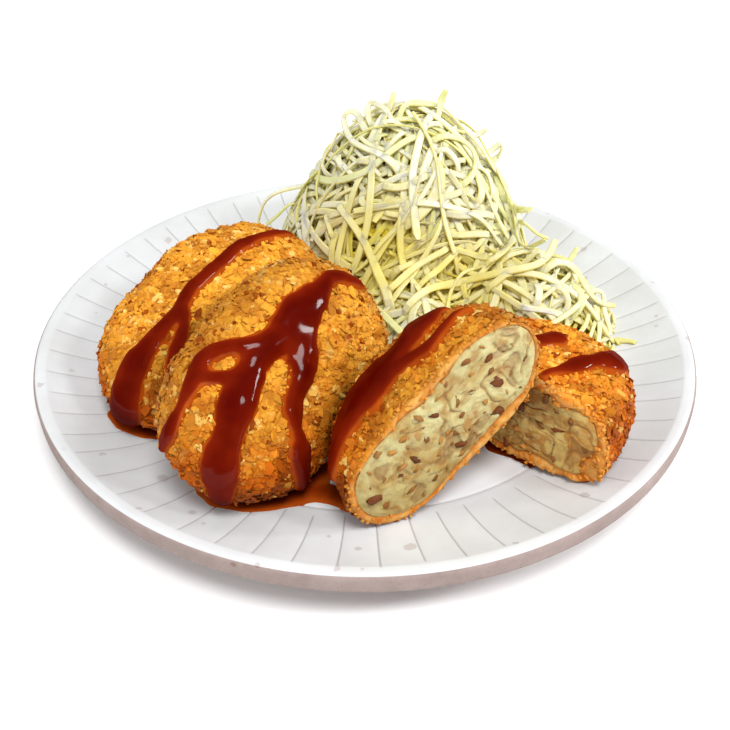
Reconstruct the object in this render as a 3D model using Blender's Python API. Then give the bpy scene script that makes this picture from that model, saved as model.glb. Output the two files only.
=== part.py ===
"""Plate of croquettes: a ribbed stoneware plate with two whole croquettes, one
croquette cut into two halves, and a heap of shredded cabbage.

Metres, +Z up. The origin is the centre of the plate's foot, on the surface it
stands on. +Y points to the back of the plate, where the cabbage is.
"""
import math

import bmesh
import bpy
import numpy as np
from mathutils import Matrix, Vector

# ---------------------------------------------------------------- dimensions
MM = 0.001

# plate, turned about Z
PLATE_R = 115.0 * MM          # outer radius, a 23 cm plate
RIM_TOP = 21.0 * MM           # highest point of the lip
WELL_R = 81.5 * MM            # where the flat well meets the rim
WELL_Z = 10.5 * MM            # surface of the well
EDGE_H = 6.4 * MM             # height of the plain band round the edge
LIP_R = 111.0 * MM            # inner side of the rounded lip
FOOT_OUT = 67.0 * MM          # foot ring, outside
FOOT_IN = 60.0 * MM           # foot ring, inside
FOOT_RECESS = 4.0 * MM        # hollow inside the foot ring
PLATE_SEGMENTS = 80

GAP = 0.3 * MM                # air left between pieces that touch

# crust round the filling at the cuts
CRUST = 2.3 * MM

# each croquette: half length, half width and thickness, its centre, the
# direction of its long axis and the direction its flat top faces
CROQUETTES = {
    "croquette_left": dict(a=47.4, b=31.5, t=28.8, c=(-51.9, -10.7, 29.4),
                           axis=(0.413, 0.897, 0.157), up=(-0.015, -0.165, 0.986), seed=11),
    "croquette_front": dict(a=43.3, b=28.3, t=28.9, c=(-25.8, -52.2, 38.3),
                            axis=(0.547, 0.821, 0.165), up=(0.603, -0.522, 0.603), seed=23),
}
# each half also has the place of its cut along the long axis; the axis points
# out of the cut
HALVES = {
    "half_front": dict(a=36.9, b=35.9, t=34.1, cut=-3.4, c=(24.0, -82.0, 41.3),
                       axis=(0.432, -0.899, 0.076), up=(-0.610, -0.229, 0.759), seed=37),
    "half_back": dict(a=43.1, b=32.5, t=32.4, cut=-1.4, c=(43.6, -59.1, 28.8),
                      axis=(-0.655, -0.755, 0.032), up=(0.041, 0.007, 0.999), seed=41),
}

# outline of a croquette: plan superellipse, then the rounding of its sides
PLAN_N = 2.35
SIDE_K = 3.6
SIDE_Q = 2.2
UNEVEN = 0.75 * MM            # how far hand shaping moves the surface

# cabbage: three overlapping mounds, each (x, y, radius, height above the well,
# fullness: 1 is a plain dome and less has fuller shoulders)
MOUNDS = ((15.0, 49.8, 50.5, 70.0, 0.78), (58.3, 7.7, 34.0, 33.5, 0.9), (14.0, 2.0, 30.0, 27.0, 1.0))
HEAP_CENTRE = (27.0 * MM, 30.0 * MM)
HEAP_SEGMENTS = 34
HEAP_RINGS = 12


# ---------------------------------------------------------------- helpers
def clear_scene():
    for ob in list(bpy.data.objects):
        bpy.data.objects.remove(ob, do_unlink=True)


def material(name, colour, roughness, metallic=0.0):
    mat = bpy.data.materials.new(name)
    mat.use_nodes = True
    shader = mat.node_tree.nodes["Principled BSDF"]
    shader.inputs["Base Color"].default_value = (*colour, 1.0)
    shader.inputs["Roughness"].default_value = roughness
    shader.inputs["Metallic"].default_value = metallic
    return mat


def add_object(name, bm, mat):
    bm.normal_update()
    bmesh.ops.recalc_face_normals(bm, faces=bm.faces)
    mesh = bpy.data.meshes.new(name)
    bm.to_mesh(mesh)
    bm.free()
    mesh.materials.append(mat)
    mesh.shade_smooth()
    mesh.set_sharp_from_angle(angle=math.radians(50))
    ob = bpy.data.objects.new(name, mesh)
    bpy.context.scene.collection.objects.link(ob)
    return ob


def rings_to_faces(bm, rings):
    """Joins a list of closed rings; a ring of one vertex is a pole."""
    for lower, upper in zip(rings[:-1], rings[1:]):
        n = max(len(lower), len(upper))
        for i in range(n):
            j = (i + 1) % n
            if len(lower) == 1:
                bm.faces.new((lower[0], upper[j], upper[i]))
            elif len(upper) == 1:
                bm.faces.new((lower[i], lower[j], upper[0]))
            else:
                bm.faces.new((lower[i], lower[j], upper[j], upper[i]))


# ---------------------------------------------------------------- plate
def rim_height(r):
    """Top surface of the plate: flat well, then a hollow curve up to the lip."""
    t = min(max((r - WELL_R) / (LIP_R - WELL_R), 0.0), 1.0)
    return WELL_Z + (RIM_TOP - 0.3 * MM - WELL_Z) * (0.42 * t + 0.58 * t * t)


def plate_profile():
    top = [(0.0, WELL_Z), (WELL_R * 0.55, WELL_Z), (WELL_R - 1.2 * MM, WELL_Z)]
    steps = 7
    for i in range(steps + 1):
        r = WELL_R + (LIP_R - WELL_R) * i / steps
        top.append((r, rim_height(r)))
    # rounded lip, then the band round the edge with a small arris below
    lip = []
    radius = 1.5 * MM
    for i in range(4):
        a = math.radians(90 - 30 * i)
        lip.append((PLATE_R - radius + radius * math.cos(a),
                    RIM_TOP - radius + radius * math.sin(a)))
    low = RIM_TOP - EDGE_H
    lip += [(PLATE_R - 0.1 * MM, low + 0.9 * MM), (PLATE_R - 1.1 * MM, low)]
    # underside: a straight flank down to the foot ring, then its recess
    under = []
    for i in range(1, 5):
        t = i / 4
        r = PLATE_R - 1.1 * MM + (FOOT_OUT + 2.5 * MM - PLATE_R + 1.1 * MM) * t
        z = low + (FOOT_RECESS - low) * (0.8 * t + 0.2 * t * t)
        under.append((r, z))
    foot = [(FOOT_OUT + 0.5 * MM, 0.5 * MM), (FOOT_OUT, 0.0), (FOOT_IN, 0.0),
            (FOOT_IN - 0.5 * MM, 0.5 * MM), (FOOT_IN - 2.0 * MM, FOOT_RECESS),
            (0.0, FOOT_RECESS)]
    return top + lip + under + foot


def build_plate(mat):
    bm = bmesh.new()
    rings = []
    for r, z in plate_profile():
        if r == 0.0:
            rings.append([bm.verts.new((0.0, 0.0, z))])
        else:
            rings.append([bm.verts.new((r * math.cos(a), r * math.sin(a), z))
                          for a in (2 * math.pi * i / PLATE_SEGMENTS for i in range(PLATE_SEGMENTS))])
    rings_to_faces(bm, rings)
    return add_object("plate", bm, mat)


# ---------------------------------------------------------------- croquettes
def frame_of(spec):
    """Rotation and place of a croquette: x along its axis, z out of its top."""
    x = Vector(spec["axis"]).normalized()
    z = Vector(spec["up"])
    z = (z - x * z.dot(x)).normalized()
    y = z.cross(x)
    rot = Matrix((x, y, z)).transposed()
    return Matrix.Translation(Vector(spec["c"]) * MM) @ rot.to_4x4()


def waves(seed, count=7):
    """Directions, lengths and phases of the long waves that make it uneven."""
    rng = np.random.default_rng(seed)
    k = rng.normal(size=(count, 3))
    k /= np.linalg.norm(k, axis=1)[:, None]
    k *= (2 * math.pi / (rng.uniform(17.0, 40.0, count) * MM))[:, None]
    return k, rng.uniform(0.0, 2 * math.pi, count)


def section_radius(x, angle, a, b, t):
    """Distance from the long axis to the surface, at x along the axis and at an
    angle round it (0 is sideways, 90 degrees is up)."""
    lo, hi = 0.0, max(b, t)
    cy, cz = abs(math.cos(angle)), abs(math.sin(angle))
    px = (abs(x) / a) ** PLAN_N
    for _ in range(34):
        mid = 0.5 * (lo + hi)
        plan = px + (mid * cy / b) ** PLAN_N
        value = plan ** (SIDE_K / PLAN_N) + (2 * mid * cz / t) ** SIDE_Q
        if value < 1.0:
            lo = mid
        else:
            hi = mid
    return 0.5 * (lo + hi)


def patty_rings(bm, spec, inset, x_end, count, segments):
    """Rings of vertices from the rounded end at -x to x_end (None goes on to
    the other rounded end)."""
    a = spec["a"] * MM - inset
    b = spec["b"] * MM - inset
    t = spec["t"] * MM - 2 * inset
    k, phase = waves(spec["seed"])
    last = a if x_end is None else x_end
    start, stop = -math.pi / 2, (math.pi / 2 if x_end is None else math.asin(max(-1.0, min(1.0, last / a))))
    rings = []
    for i in range(count + 1):
        w = i / count
        x = a * math.sin(start + (stop - start) * w)
        if i == 0 or (i == count and x_end is None):
            rings.append([bm.verts.new((x, 0.0, 0.0))])
            continue
        if i == count:
            x = last
        ring = []
        for j in range(segments):
            angle = 2 * math.pi * (j + 0.5) / segments
            # more points round the two thin sides than on the flat faces
            angle -= 0.22 * math.sin(2 * angle)
            rho = section_radius(x, angle, a, b, t)
            y, z = rho * math.cos(angle), rho * math.sin(angle)
            # read at the same place on every layer, so that the crust is even
            spot = np.array([x * spec["a"] / a, y * spec["b"] / b, z * spec["t"] / t]) * MM
            bump = float(np.sin(k @ spot + phase).sum()) / math.sqrt(len(phase))
            taper = min(1.0, rho / (8 * MM))
            rho += UNEVEN * bump * taper
            ring.append(bm.verts.new((x, rho * math.cos(angle), rho * math.sin(angle))))
        rings.append(ring)
    return rings


def build_croquette(name, spec, mat):
    bm = bmesh.new()
    rings_to_faces(bm, patty_rings(bm, spec, 0.0, None, 18, 26))
    bm.transform(frame_of(spec))
    return add_object(name, bm, mat)


def build_half(name, spec, coat_mat, fill_mat):
    cut = spec["cut"] * MM
    # coating: outer skin, a flat ring at the cut, and the pocket for the filling
    bm = bmesh.new()
    outer = patty_rings(bm, spec, 0.0, cut, 11, 24)
    pocket = patty_rings(bm, spec, CRUST, cut, 9, 24)
    rings_to_faces(bm, outer)
    rings_to_faces(bm, [outer[-1], pocket[-1]])
    rings_to_faces(bm, list(reversed(pocket)))
    bm.transform(frame_of(spec))
    coat = add_object(name + "_coating", bm, coat_mat)
    # filling: the pocket's own shape drawn in by the gap, from the far end of
    # the pocket through to the cut
    bm = bmesh.new()
    body = patty_rings(bm, spec, CRUST, cut, 9, 24)
    rings_to_faces(bm, body)
    bm.faces.new(body[-1])
    bmesh.ops.recalc_face_normals(bm, faces=bm.faces)
    bm.normal_update()
    for ring in body[:-1]:
        for vert in ring:
            vert.co -= vert.normal * GAP * 1.15
    for vert in body[-1]:
        side = Vector((0.0, vert.co.y, vert.co.z)).normalized()
        vert.co -= side * GAP * 1.15
    bm.transform(frame_of(spec))
    fill = add_object(name + "_filling", bm, fill_mat)
    return coat, fill


# ---------------------------------------------------------------- cabbage
def inside_croquette(p, margin):
    """Whether a point is inside any croquette grown by a margin."""
    for spec in list(CROQUETTES.values()) + list(HALVES.values()):
        q = frame_of(spec).inverted() @ Vector(p)
        a = spec["a"] * MM + margin
        b = spec["b"] * MM + margin
        t = spec["t"] * MM + 2 * margin
        if "cut" in spec and q.x > spec["cut"] * MM + margin:
            continue
        plan = (abs(q.x) / a) ** PLAN_N + (abs(q.y) / b) ** PLAN_N
        if plan ** (SIDE_K / PLAN_N) + (2 * abs(q.z) / t) ** SIDE_Q < 1.0:
            return True
    return False


def heap_top(x, y):
    """Height of the heap above the plate's foot, before its uneven surface."""
    best = 0.0
    for mx, my, mr, mh, fullness in MOUNDS:
        d2 = ((x / MM - mx) ** 2 + (y / MM - my) ** 2) / (mr * mr)
        best = max(best, mh * MM * max(0.0, 1.0 - d2) ** fullness)
    return WELL_Z + best


def heap_reach(angle):
    """How far the heap spreads from its centre in one direction: to the foot of
    its mounds, the rim or the nearest croquette."""
    cx, cy = HEAP_CENTRE
    reach = 8 * MM
    while reach < 75 * MM:
        x, y = cx + reach * math.cos(angle), cy + reach * math.sin(angle)
        ground = rim_height(math.hypot(x, y)) + GAP
        top = heap_top(x, y)
        if math.hypot(x, y) > 101 * MM or top < ground + 5 * MM:
            break
        if any(inside_croquette((x, y, ground + (top - ground) * s / 8), 2.2 * MM) for s in range(9)):
            break
        reach += 0.5 * MM
    return reach - 0.5 * MM


def build_heap(mat):
    rng = np.random.default_rng(5)
    k = rng.normal(size=(9, 2))
    k /= np.linalg.norm(k, axis=1)[:, None]
    k *= (2 * math.pi / (rng.uniform(11.0, 26.0, 9) * MM))[:, None]
    phase = rng.uniform(0, 2 * math.pi, 9)
    cx, cy = HEAP_CENTRE
    angles = [2 * math.pi * i / HEAP_SEGMENTS for i in range(HEAP_SEGMENTS)]
    reach = [heap_reach(a) for a in angles]
    # a spike or a notch of one step is smoothed inwards only
    reach = [min(reach[i], 0.5 * (reach[i - 1] + reach[(i + 1) % HEAP_SEGMENTS]) + 3 * MM)
             for i in range(HEAP_SEGMENTS)]

    def point(i, s, top):
        x = cx + reach[i] * s * math.cos(angles[i])
        y = cy + reach[i] * s * math.sin(angles[i])
        ground = rim_height(math.hypot(x, y)) + GAP
        if not top:
            return x, y, ground
        rough = float(np.sin(k @ np.array([x, y]) + phase).sum()) / 3.0
        side = min(1.0, (1.0 - s) / 0.12) ** 0.5
        z = heap_top(x, y) + 1.6 * MM * rough
        return x, y, max(ground + (z - ground) * (0.45 + 0.55 * side), ground + 1.5 * MM)

    bm = bmesh.new()
    apex = bm.verts.new((cx, cy, heap_top(cx, cy)))
    rings = [[apex]]
    for r in range(1, HEAP_RINGS + 1):
        s = (r / HEAP_RINGS) ** 0.9
        rings.append([bm.verts.new(point(i, s, True)) for i in range(HEAP_SEGMENTS)])
    for s in (1.0, 0.72, 0.4):
        rings.append([bm.verts.new(point(i, s, False)) for i in range(HEAP_SEGMENTS)])
    rings.append([bm.verts.new((cx, cy, rim_height(math.hypot(cx, cy)) + GAP))])
    rings_to_faces(bm, rings)
    return add_object("cabbage_heap", bm, mat)


# ---------------------------------------------------------------- the part
def main():
    clear_scene()
    stoneware = material("stoneware", (0.78, 0.77, 0.75), 0.35)
    crust = material("fried_crumb", (0.78, 0.40, 0.08), 0.65)
    potato = material("potato_filling", (0.68, 0.60, 0.36), 0.6)
    cabbage = material("shredded_cabbage", (0.80, 0.83, 0.52), 0.5)

    build_plate(stoneware)
    for name, spec in CROQUETTES.items():
        build_croquette(name, spec, crust)
    for name, spec in HALVES.items():
        build_half(name, spec, crust, potato)
    build_heap(cabbage)


main()
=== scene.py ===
"""Looks of the plate of croquettes: glazed ribbed plate, crumbed and fried crusts,
potato filling, shredded cabbage and sauce, as real meshes in the CAD frame.

Metres, +Z up, +Y to the back of the plate. Lengths marked mm are in millimetres.
"""

import math

import bmesh
import bpy
import numpy as np
from mathutils import Matrix, Vector
from mathutils.bvhtree import BVHTree


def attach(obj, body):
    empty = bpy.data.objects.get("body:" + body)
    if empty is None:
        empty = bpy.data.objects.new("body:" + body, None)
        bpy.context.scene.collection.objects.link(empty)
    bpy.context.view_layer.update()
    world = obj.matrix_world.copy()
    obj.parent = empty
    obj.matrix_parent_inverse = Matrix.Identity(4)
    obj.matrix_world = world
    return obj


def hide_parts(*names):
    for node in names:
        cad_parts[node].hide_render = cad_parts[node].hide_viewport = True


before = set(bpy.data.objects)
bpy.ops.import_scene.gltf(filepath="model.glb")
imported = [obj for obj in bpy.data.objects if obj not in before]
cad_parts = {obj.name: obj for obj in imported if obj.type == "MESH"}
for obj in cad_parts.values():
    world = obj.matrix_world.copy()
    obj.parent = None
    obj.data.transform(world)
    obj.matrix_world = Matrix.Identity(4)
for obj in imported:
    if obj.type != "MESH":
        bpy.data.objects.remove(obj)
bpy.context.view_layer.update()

MM = 0.001

# ---------------------------------------------------------------- the CAD sizes
PLATE_R = 115.0
RIM_TOP = 21.0
WELL_R = 81.5
WELL_Z = 10.5
EDGE_H = 6.4
LIP_R = 111.0
FOOT_OUT = 67.0
FOOT_IN = 60.0
FOOT_RECESS = 4.0
CRUST = 2.3
CROQUETTES = {
    "croquette_left": dict(a=47.4, b=31.5, t=28.8, c=(-51.9, -10.7, 29.4),
                           axis=(0.413, 0.897, 0.157), up=(-0.015, -0.165, 0.986), seed=11),
    "croquette_front": dict(a=43.3, b=28.3, t=28.9, c=(-25.8, -52.2, 38.3),
                            axis=(0.547, 0.821, 0.165), up=(0.603, -0.522, 0.603), seed=23),
}
HALVES = {
    "half_front": dict(a=36.9, b=35.9, t=34.1, cut=-3.4, c=(24.0, -82.0, 41.3),
                       axis=(0.432, -0.899, 0.076), up=(-0.610, -0.229, 0.759), seed=37),
    "half_back": dict(a=43.1, b=32.5, t=32.4, cut=-1.4, c=(43.6, -59.1, 28.8),
                      axis=(-0.655, -0.755, 0.032), up=(0.041, 0.007, 0.999), seed=41),
}
SPECS = {**CROQUETTES, **HALVES}
PLAN_N = 2.35
SIDE_K = 3.6
SIDE_Q = 2.2
UNEVEN = 0.75
MOUNDS = ((15.0, 49.8, 50.5, 70.0, 0.78), (58.3, 7.7, 34.0, 33.5, 0.9), (14.0, 2.0, 30.0, 27.0, 1.0))

# ---------------------------------------------------------------- camera
PITCH = math.radians(37.964)
CAM_POS = np.array([0.0, -264.607, 207.919])        # mm
FOCAL_PX = 898.825
HALF_PX = 365.0
CAM_RIGHT = np.array([1.0, 0.0, 0.0])
CAM_UP = np.array([0.0, math.sin(PITCH), math.cos(PITCH)])
CAM_DIR = np.array([0.0, math.cos(PITCH), -math.sin(PITCH)])


def project(p):
    """Places in the picture (730 units wide) of points in mm."""
    q = np.atleast_2d(p) - CAM_POS
    depth = q @ CAM_DIR
    return np.stack([HALF_PX + FOCAL_PX * (q @ CAM_RIGHT) / depth,
                     HALF_PX - FOCAL_PX * (q @ CAM_UP) / depth], 1)


def sight(px, py):
    """Unit direction from the camera through a place in the picture."""
    v = CAM_DIR + CAM_RIGHT * (px - HALF_PX) / FOCAL_PX - CAM_UP * (py - HALF_PX) / FOCAL_PX
    return v / np.linalg.norm(v)


def on_plane(px, py, axis, value):
    """Point seen at a place in the picture, on the plane where one axis has a value."""
    v = sight(px, py)
    return CAM_POS + v * (value - CAM_POS[axis]) / v[axis]


def make_camera():
    data = bpy.data.cameras.new("camera")
    data.sensor_width = 36.0
    data.lens = 36.0 * FOCAL_PX / 730.0
    data.clip_start, data.clip_end = 0.01, 20.0
    cam = bpy.data.objects.new("camera", data)
    cam.location = CAM_POS * MM
    cam.rotation_euler = (math.pi / 2 - PITCH, 0.0, 0.0)
    bpy.context.scene.collection.objects.link(cam)
    bpy.context.scene.camera = cam


# ---------------------------------------------------------------- colour helpers
def lin(r, g, b):
    """Linear colour of a display colour given as 0 to 255."""
    out = []
    for v in (r, g, b):
        v /= 255.0
        out.append(v / 12.92 if v <= 0.04045 else ((v + 0.055) / 1.055) ** 2.4)
    return np.array(out)


def mix(a, b, t):
    t = np.asarray(t)[..., None]
    return np.asarray(a) * (1 - t) + np.asarray(b) * t


def smoothstep(lo, hi, x):
    t = np.clip((x - lo) / (hi - lo), 0.0, 1.0)
    return t * t * (3 - 2 * t)


# ---------------------------------------------------------------- noise
def _hash(ix, iy, iz, seed):
    h = (ix.astype(np.int64) * 374761393 + iy.astype(np.int64) * 668265263
         + iz.astype(np.int64) * 2147483647 + seed * 1274126177) & 0xFFFFFFFF
    h = ((h ^ (h >> 13)) * 1274126177) & 0xFFFFFFFF
    h = ((h ^ (h >> 16)) * 2246822519) & 0xFFFFFFFF
    return h ^ (h >> 15)


def _rand(ix, iy, iz, seed):
    return (_hash(ix, iy, iz, seed) & 0xFFFFFF) / float(0xFFFFFF)


def noise3(p, size, seed=0):
    """Smooth noise from -1 to 1, with lumps of about one size (mm)."""
    q = p / size + 71.3
    i = np.floor(q).astype(np.int64)
    f = q - i
    u = f * f * f * (f * (f * 6 - 15) + 10)
    out = 0.0
    for dx in (0, 1):
        wx = u[:, 0] if dx else 1 - u[:, 0]
        for dy in (0, 1):
            wy = u[:, 1] if dy else 1 - u[:, 1]
            for dz in (0, 1):
                wz = u[:, 2] if dz else 1 - u[:, 2]
                out = out + wx * wy * wz * _rand(i[:, 0] + dx, i[:, 1] + dy, i[:, 2] + dz, seed)
    return out * 2 - 1


def fbm(p, size, seed=0, octaves=3, gain=0.5):
    total, amp, norm = 0.0, 1.0, 0.0
    for o in range(octaves):
        total = total + amp * noise3(p, size / 2 ** o, seed + 17 * o)
        norm += amp
        amp *= gain
    return total / norm


def cells(p, size, seed=0):
    """Distances to the nearest and second nearest of scattered points, in units
    of the cell size, and a random number of the nearest."""
    q = p / size + 53.7
    i = np.floor(q).astype(np.int64)
    f1 = np.full(len(p), 9.0)
    f2 = np.full(len(p), 9.0)
    rnd = np.zeros(len(p))
    for dx in (-1, 0, 1):
        for dy in (-1, 0, 1):
            for dz in (-1, 0, 1):
                jx, jy, jz = i[:, 0] + dx, i[:, 1] + dy, i[:, 2] + dz
                cx = jx + _rand(jx, jy, jz, seed)
                cy = jy + _rand(jx, jy, jz, seed + 1)
                cz = jz + _rand(jx, jy, jz, seed + 2)
                d = np.sqrt((q[:, 0] - cx) ** 2 + (q[:, 1] - cy) ** 2 + (q[:, 2] - cz) ** 2)
                near = d < f1
                f2 = np.where(near, f1, np.minimum(f2, d))
                rnd = np.where(near, _rand(jx, jy, jz, seed + 3), rnd)
                f1 = np.where(near, d, f1)
    return f1, f2, rnd


# ---------------------------------------------------------------- mesh helpers
def make_object(name, verts, tris=None, quads=None, mat=None, colour=None, smooth=True):
    """A mesh object from arrays: verts in mm, faces as index arrays, and a colour
    for each vertex (linear)."""
    faces = []
    if quads is not None and len(quads):
        faces.append(np.asarray(quads, np.int32))
    if tris is not None and len(tris):
        faces.append(np.asarray(tris, np.int32))
    loops = np.concatenate([f.ravel() for f in faces])
    sizes = np.concatenate([np.full(len(f), f.shape[1], np.int32) for f in faces])
    starts = np.concatenate([[0], np.cumsum(sizes)[:-1]]).astype(np.int32)
    mesh = bpy.data.meshes.new(name)
    mesh.vertices.add(len(verts))
    mesh.vertices.foreach_set("co", (np.asarray(verts, float) * MM).astype(np.float32).ravel())
    mesh.loops.add(len(loops))
    mesh.loops.foreach_set("vertex_index", loops.astype(np.int32))
    mesh.polygons.add(len(sizes))
    mesh.polygons.foreach_set("loop_start", starts)
    mesh.polygons.foreach_set("loop_total", sizes)
    mesh.update(calc_edges=True)
    mesh.validate()
    if smooth:
        mesh.shade_smooth()
    else:
        mesh.shade_flat()
    if colour is not None:
        layer = mesh.color_attributes.new("Col", "FLOAT_COLOR", "POINT")
        rgba = np.ones((len(verts), 4), np.float32)
        rgba[:, :3] = np.clip(colour, 0, 1)
        layer.data.foreach_set("color", rgba.ravel())
    if mat is not None:
        mesh.materials.append(mat)
    ob = bpy.data.objects.new(name, mesh)
    bpy.context.scene.collection.objects.link(ob)
    return ob


def grid_faces(rows, cols, closed=True, offset=0):
    """Quads of a grid of rows by cols, joined round the columns."""
    r = np.arange(rows - 1)[:, None]
    c = np.arange(cols if closed else cols - 1)[None, :]
    n = (c + 1) % cols
    q = np.stack([r * cols + c, r * cols + n, (r + 1) * cols + n, (r + 1) * cols + c], -1)
    return q.reshape(-1, 4) + offset


def vertex_normals(verts, tris):
    e1 = verts[tris[:, 1]] - verts[tris[:, 0]]
    e2 = verts[tris[:, 2]] - verts[tris[:, 0]]
    fn = np.cross(e1, e2)
    out = np.zeros_like(verts)
    for k in range(3):
        np.add.at(out, tris[:, k], fn)
    return out / np.maximum(np.linalg.norm(out, axis=1), 1e-12)[:, None]


def quads_to_tris(q):
    return np.concatenate([q[:, [0, 1, 2]], q[:, [0, 2, 3]]])


# ---------------------------------------------------------------- materials
class Nodes:
    """Short names for building a node tree."""

    def __init__(self, name):
        self.mat = bpy.data.materials.new(name)
        self.mat.use_nodes = True
        self.tree = self.mat.node_tree
        self.shader = self.tree.nodes["Principled BSDF"]

    def add(self, kind, **values):
        node = self.tree.nodes.new(kind)
        for key, value in values.items():
            if key.startswith("in_"):
                node.inputs[key[3:].replace("_", " ")].default_value = value
            else:
                setattr(node, key, value)
        return node

    def link(self, a, b):
        self.tree.links.new(a, b)

    def ramp(self, source, stops):
        node = self.tree.nodes.new("ShaderNodeValToRGB")
        els = node.color_ramp.elements
        while len(els) > 1:
            els.remove(els[-1])
        els[0].position, els[0].color = stops[0][0], (*stops[0][1], 1.0)
        for pos, col in stops[1:]:
            el = els.new(pos)
            el.color = (*col, 1.0)
        self.link(source, node.inputs["Fac"])
        return node

    def maths(self, op, a, b=None):
        node = self.tree.nodes.new("ShaderNodeMath")
        node.operation = op
        for i, v in enumerate((a, b)):
            if v is None:
                continue
            if isinstance(v, (int, float)):
                node.inputs[i].default_value = v
            else:
                self.link(v, node.inputs[i])
        return node.outputs[0]

    def blend(self, fac, a, b, kind="MIX"):
        node = self.tree.nodes.new("ShaderNodeMix")
        node.data_type = "RGBA"
        node.blend_type = kind
        for sock, v in ((node.inputs[0], fac), (node.inputs[6], a), (node.inputs[7], b)):
            if isinstance(v, (int, float)):
                sock.default_value = v
            elif isinstance(v, (tuple, list, np.ndarray)):
                sock.default_value = (*v, 1.0)
            else:
                self.link(v, sock)
        return node.outputs[2]

    def place(self):
        return self.tree.nodes.new("ShaderNodeTexCoord").outputs["Object"]

    def noise(self, scale, detail=3.0, roughness=0.55, vector=None):
        node = self.tree.nodes.new("ShaderNodeTexNoise")
        node.inputs["Scale"].default_value = scale
        node.inputs["Detail"].default_value = detail
        node.inputs["Roughness"].default_value = roughness
        self.link(vector if vector is not None else self.place(), node.inputs["Vector"])
        return node

    def bump(self, height, strength, distance):
        node = self.tree.nodes.new("ShaderNodeBump")
        node.inputs["Strength"].default_value = strength
        node.inputs["Distance"].default_value = distance
        self.link(height, node.inputs["Height"])
        self.link(node.outputs["Normal"], self.shader.inputs["Normal"])


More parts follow.
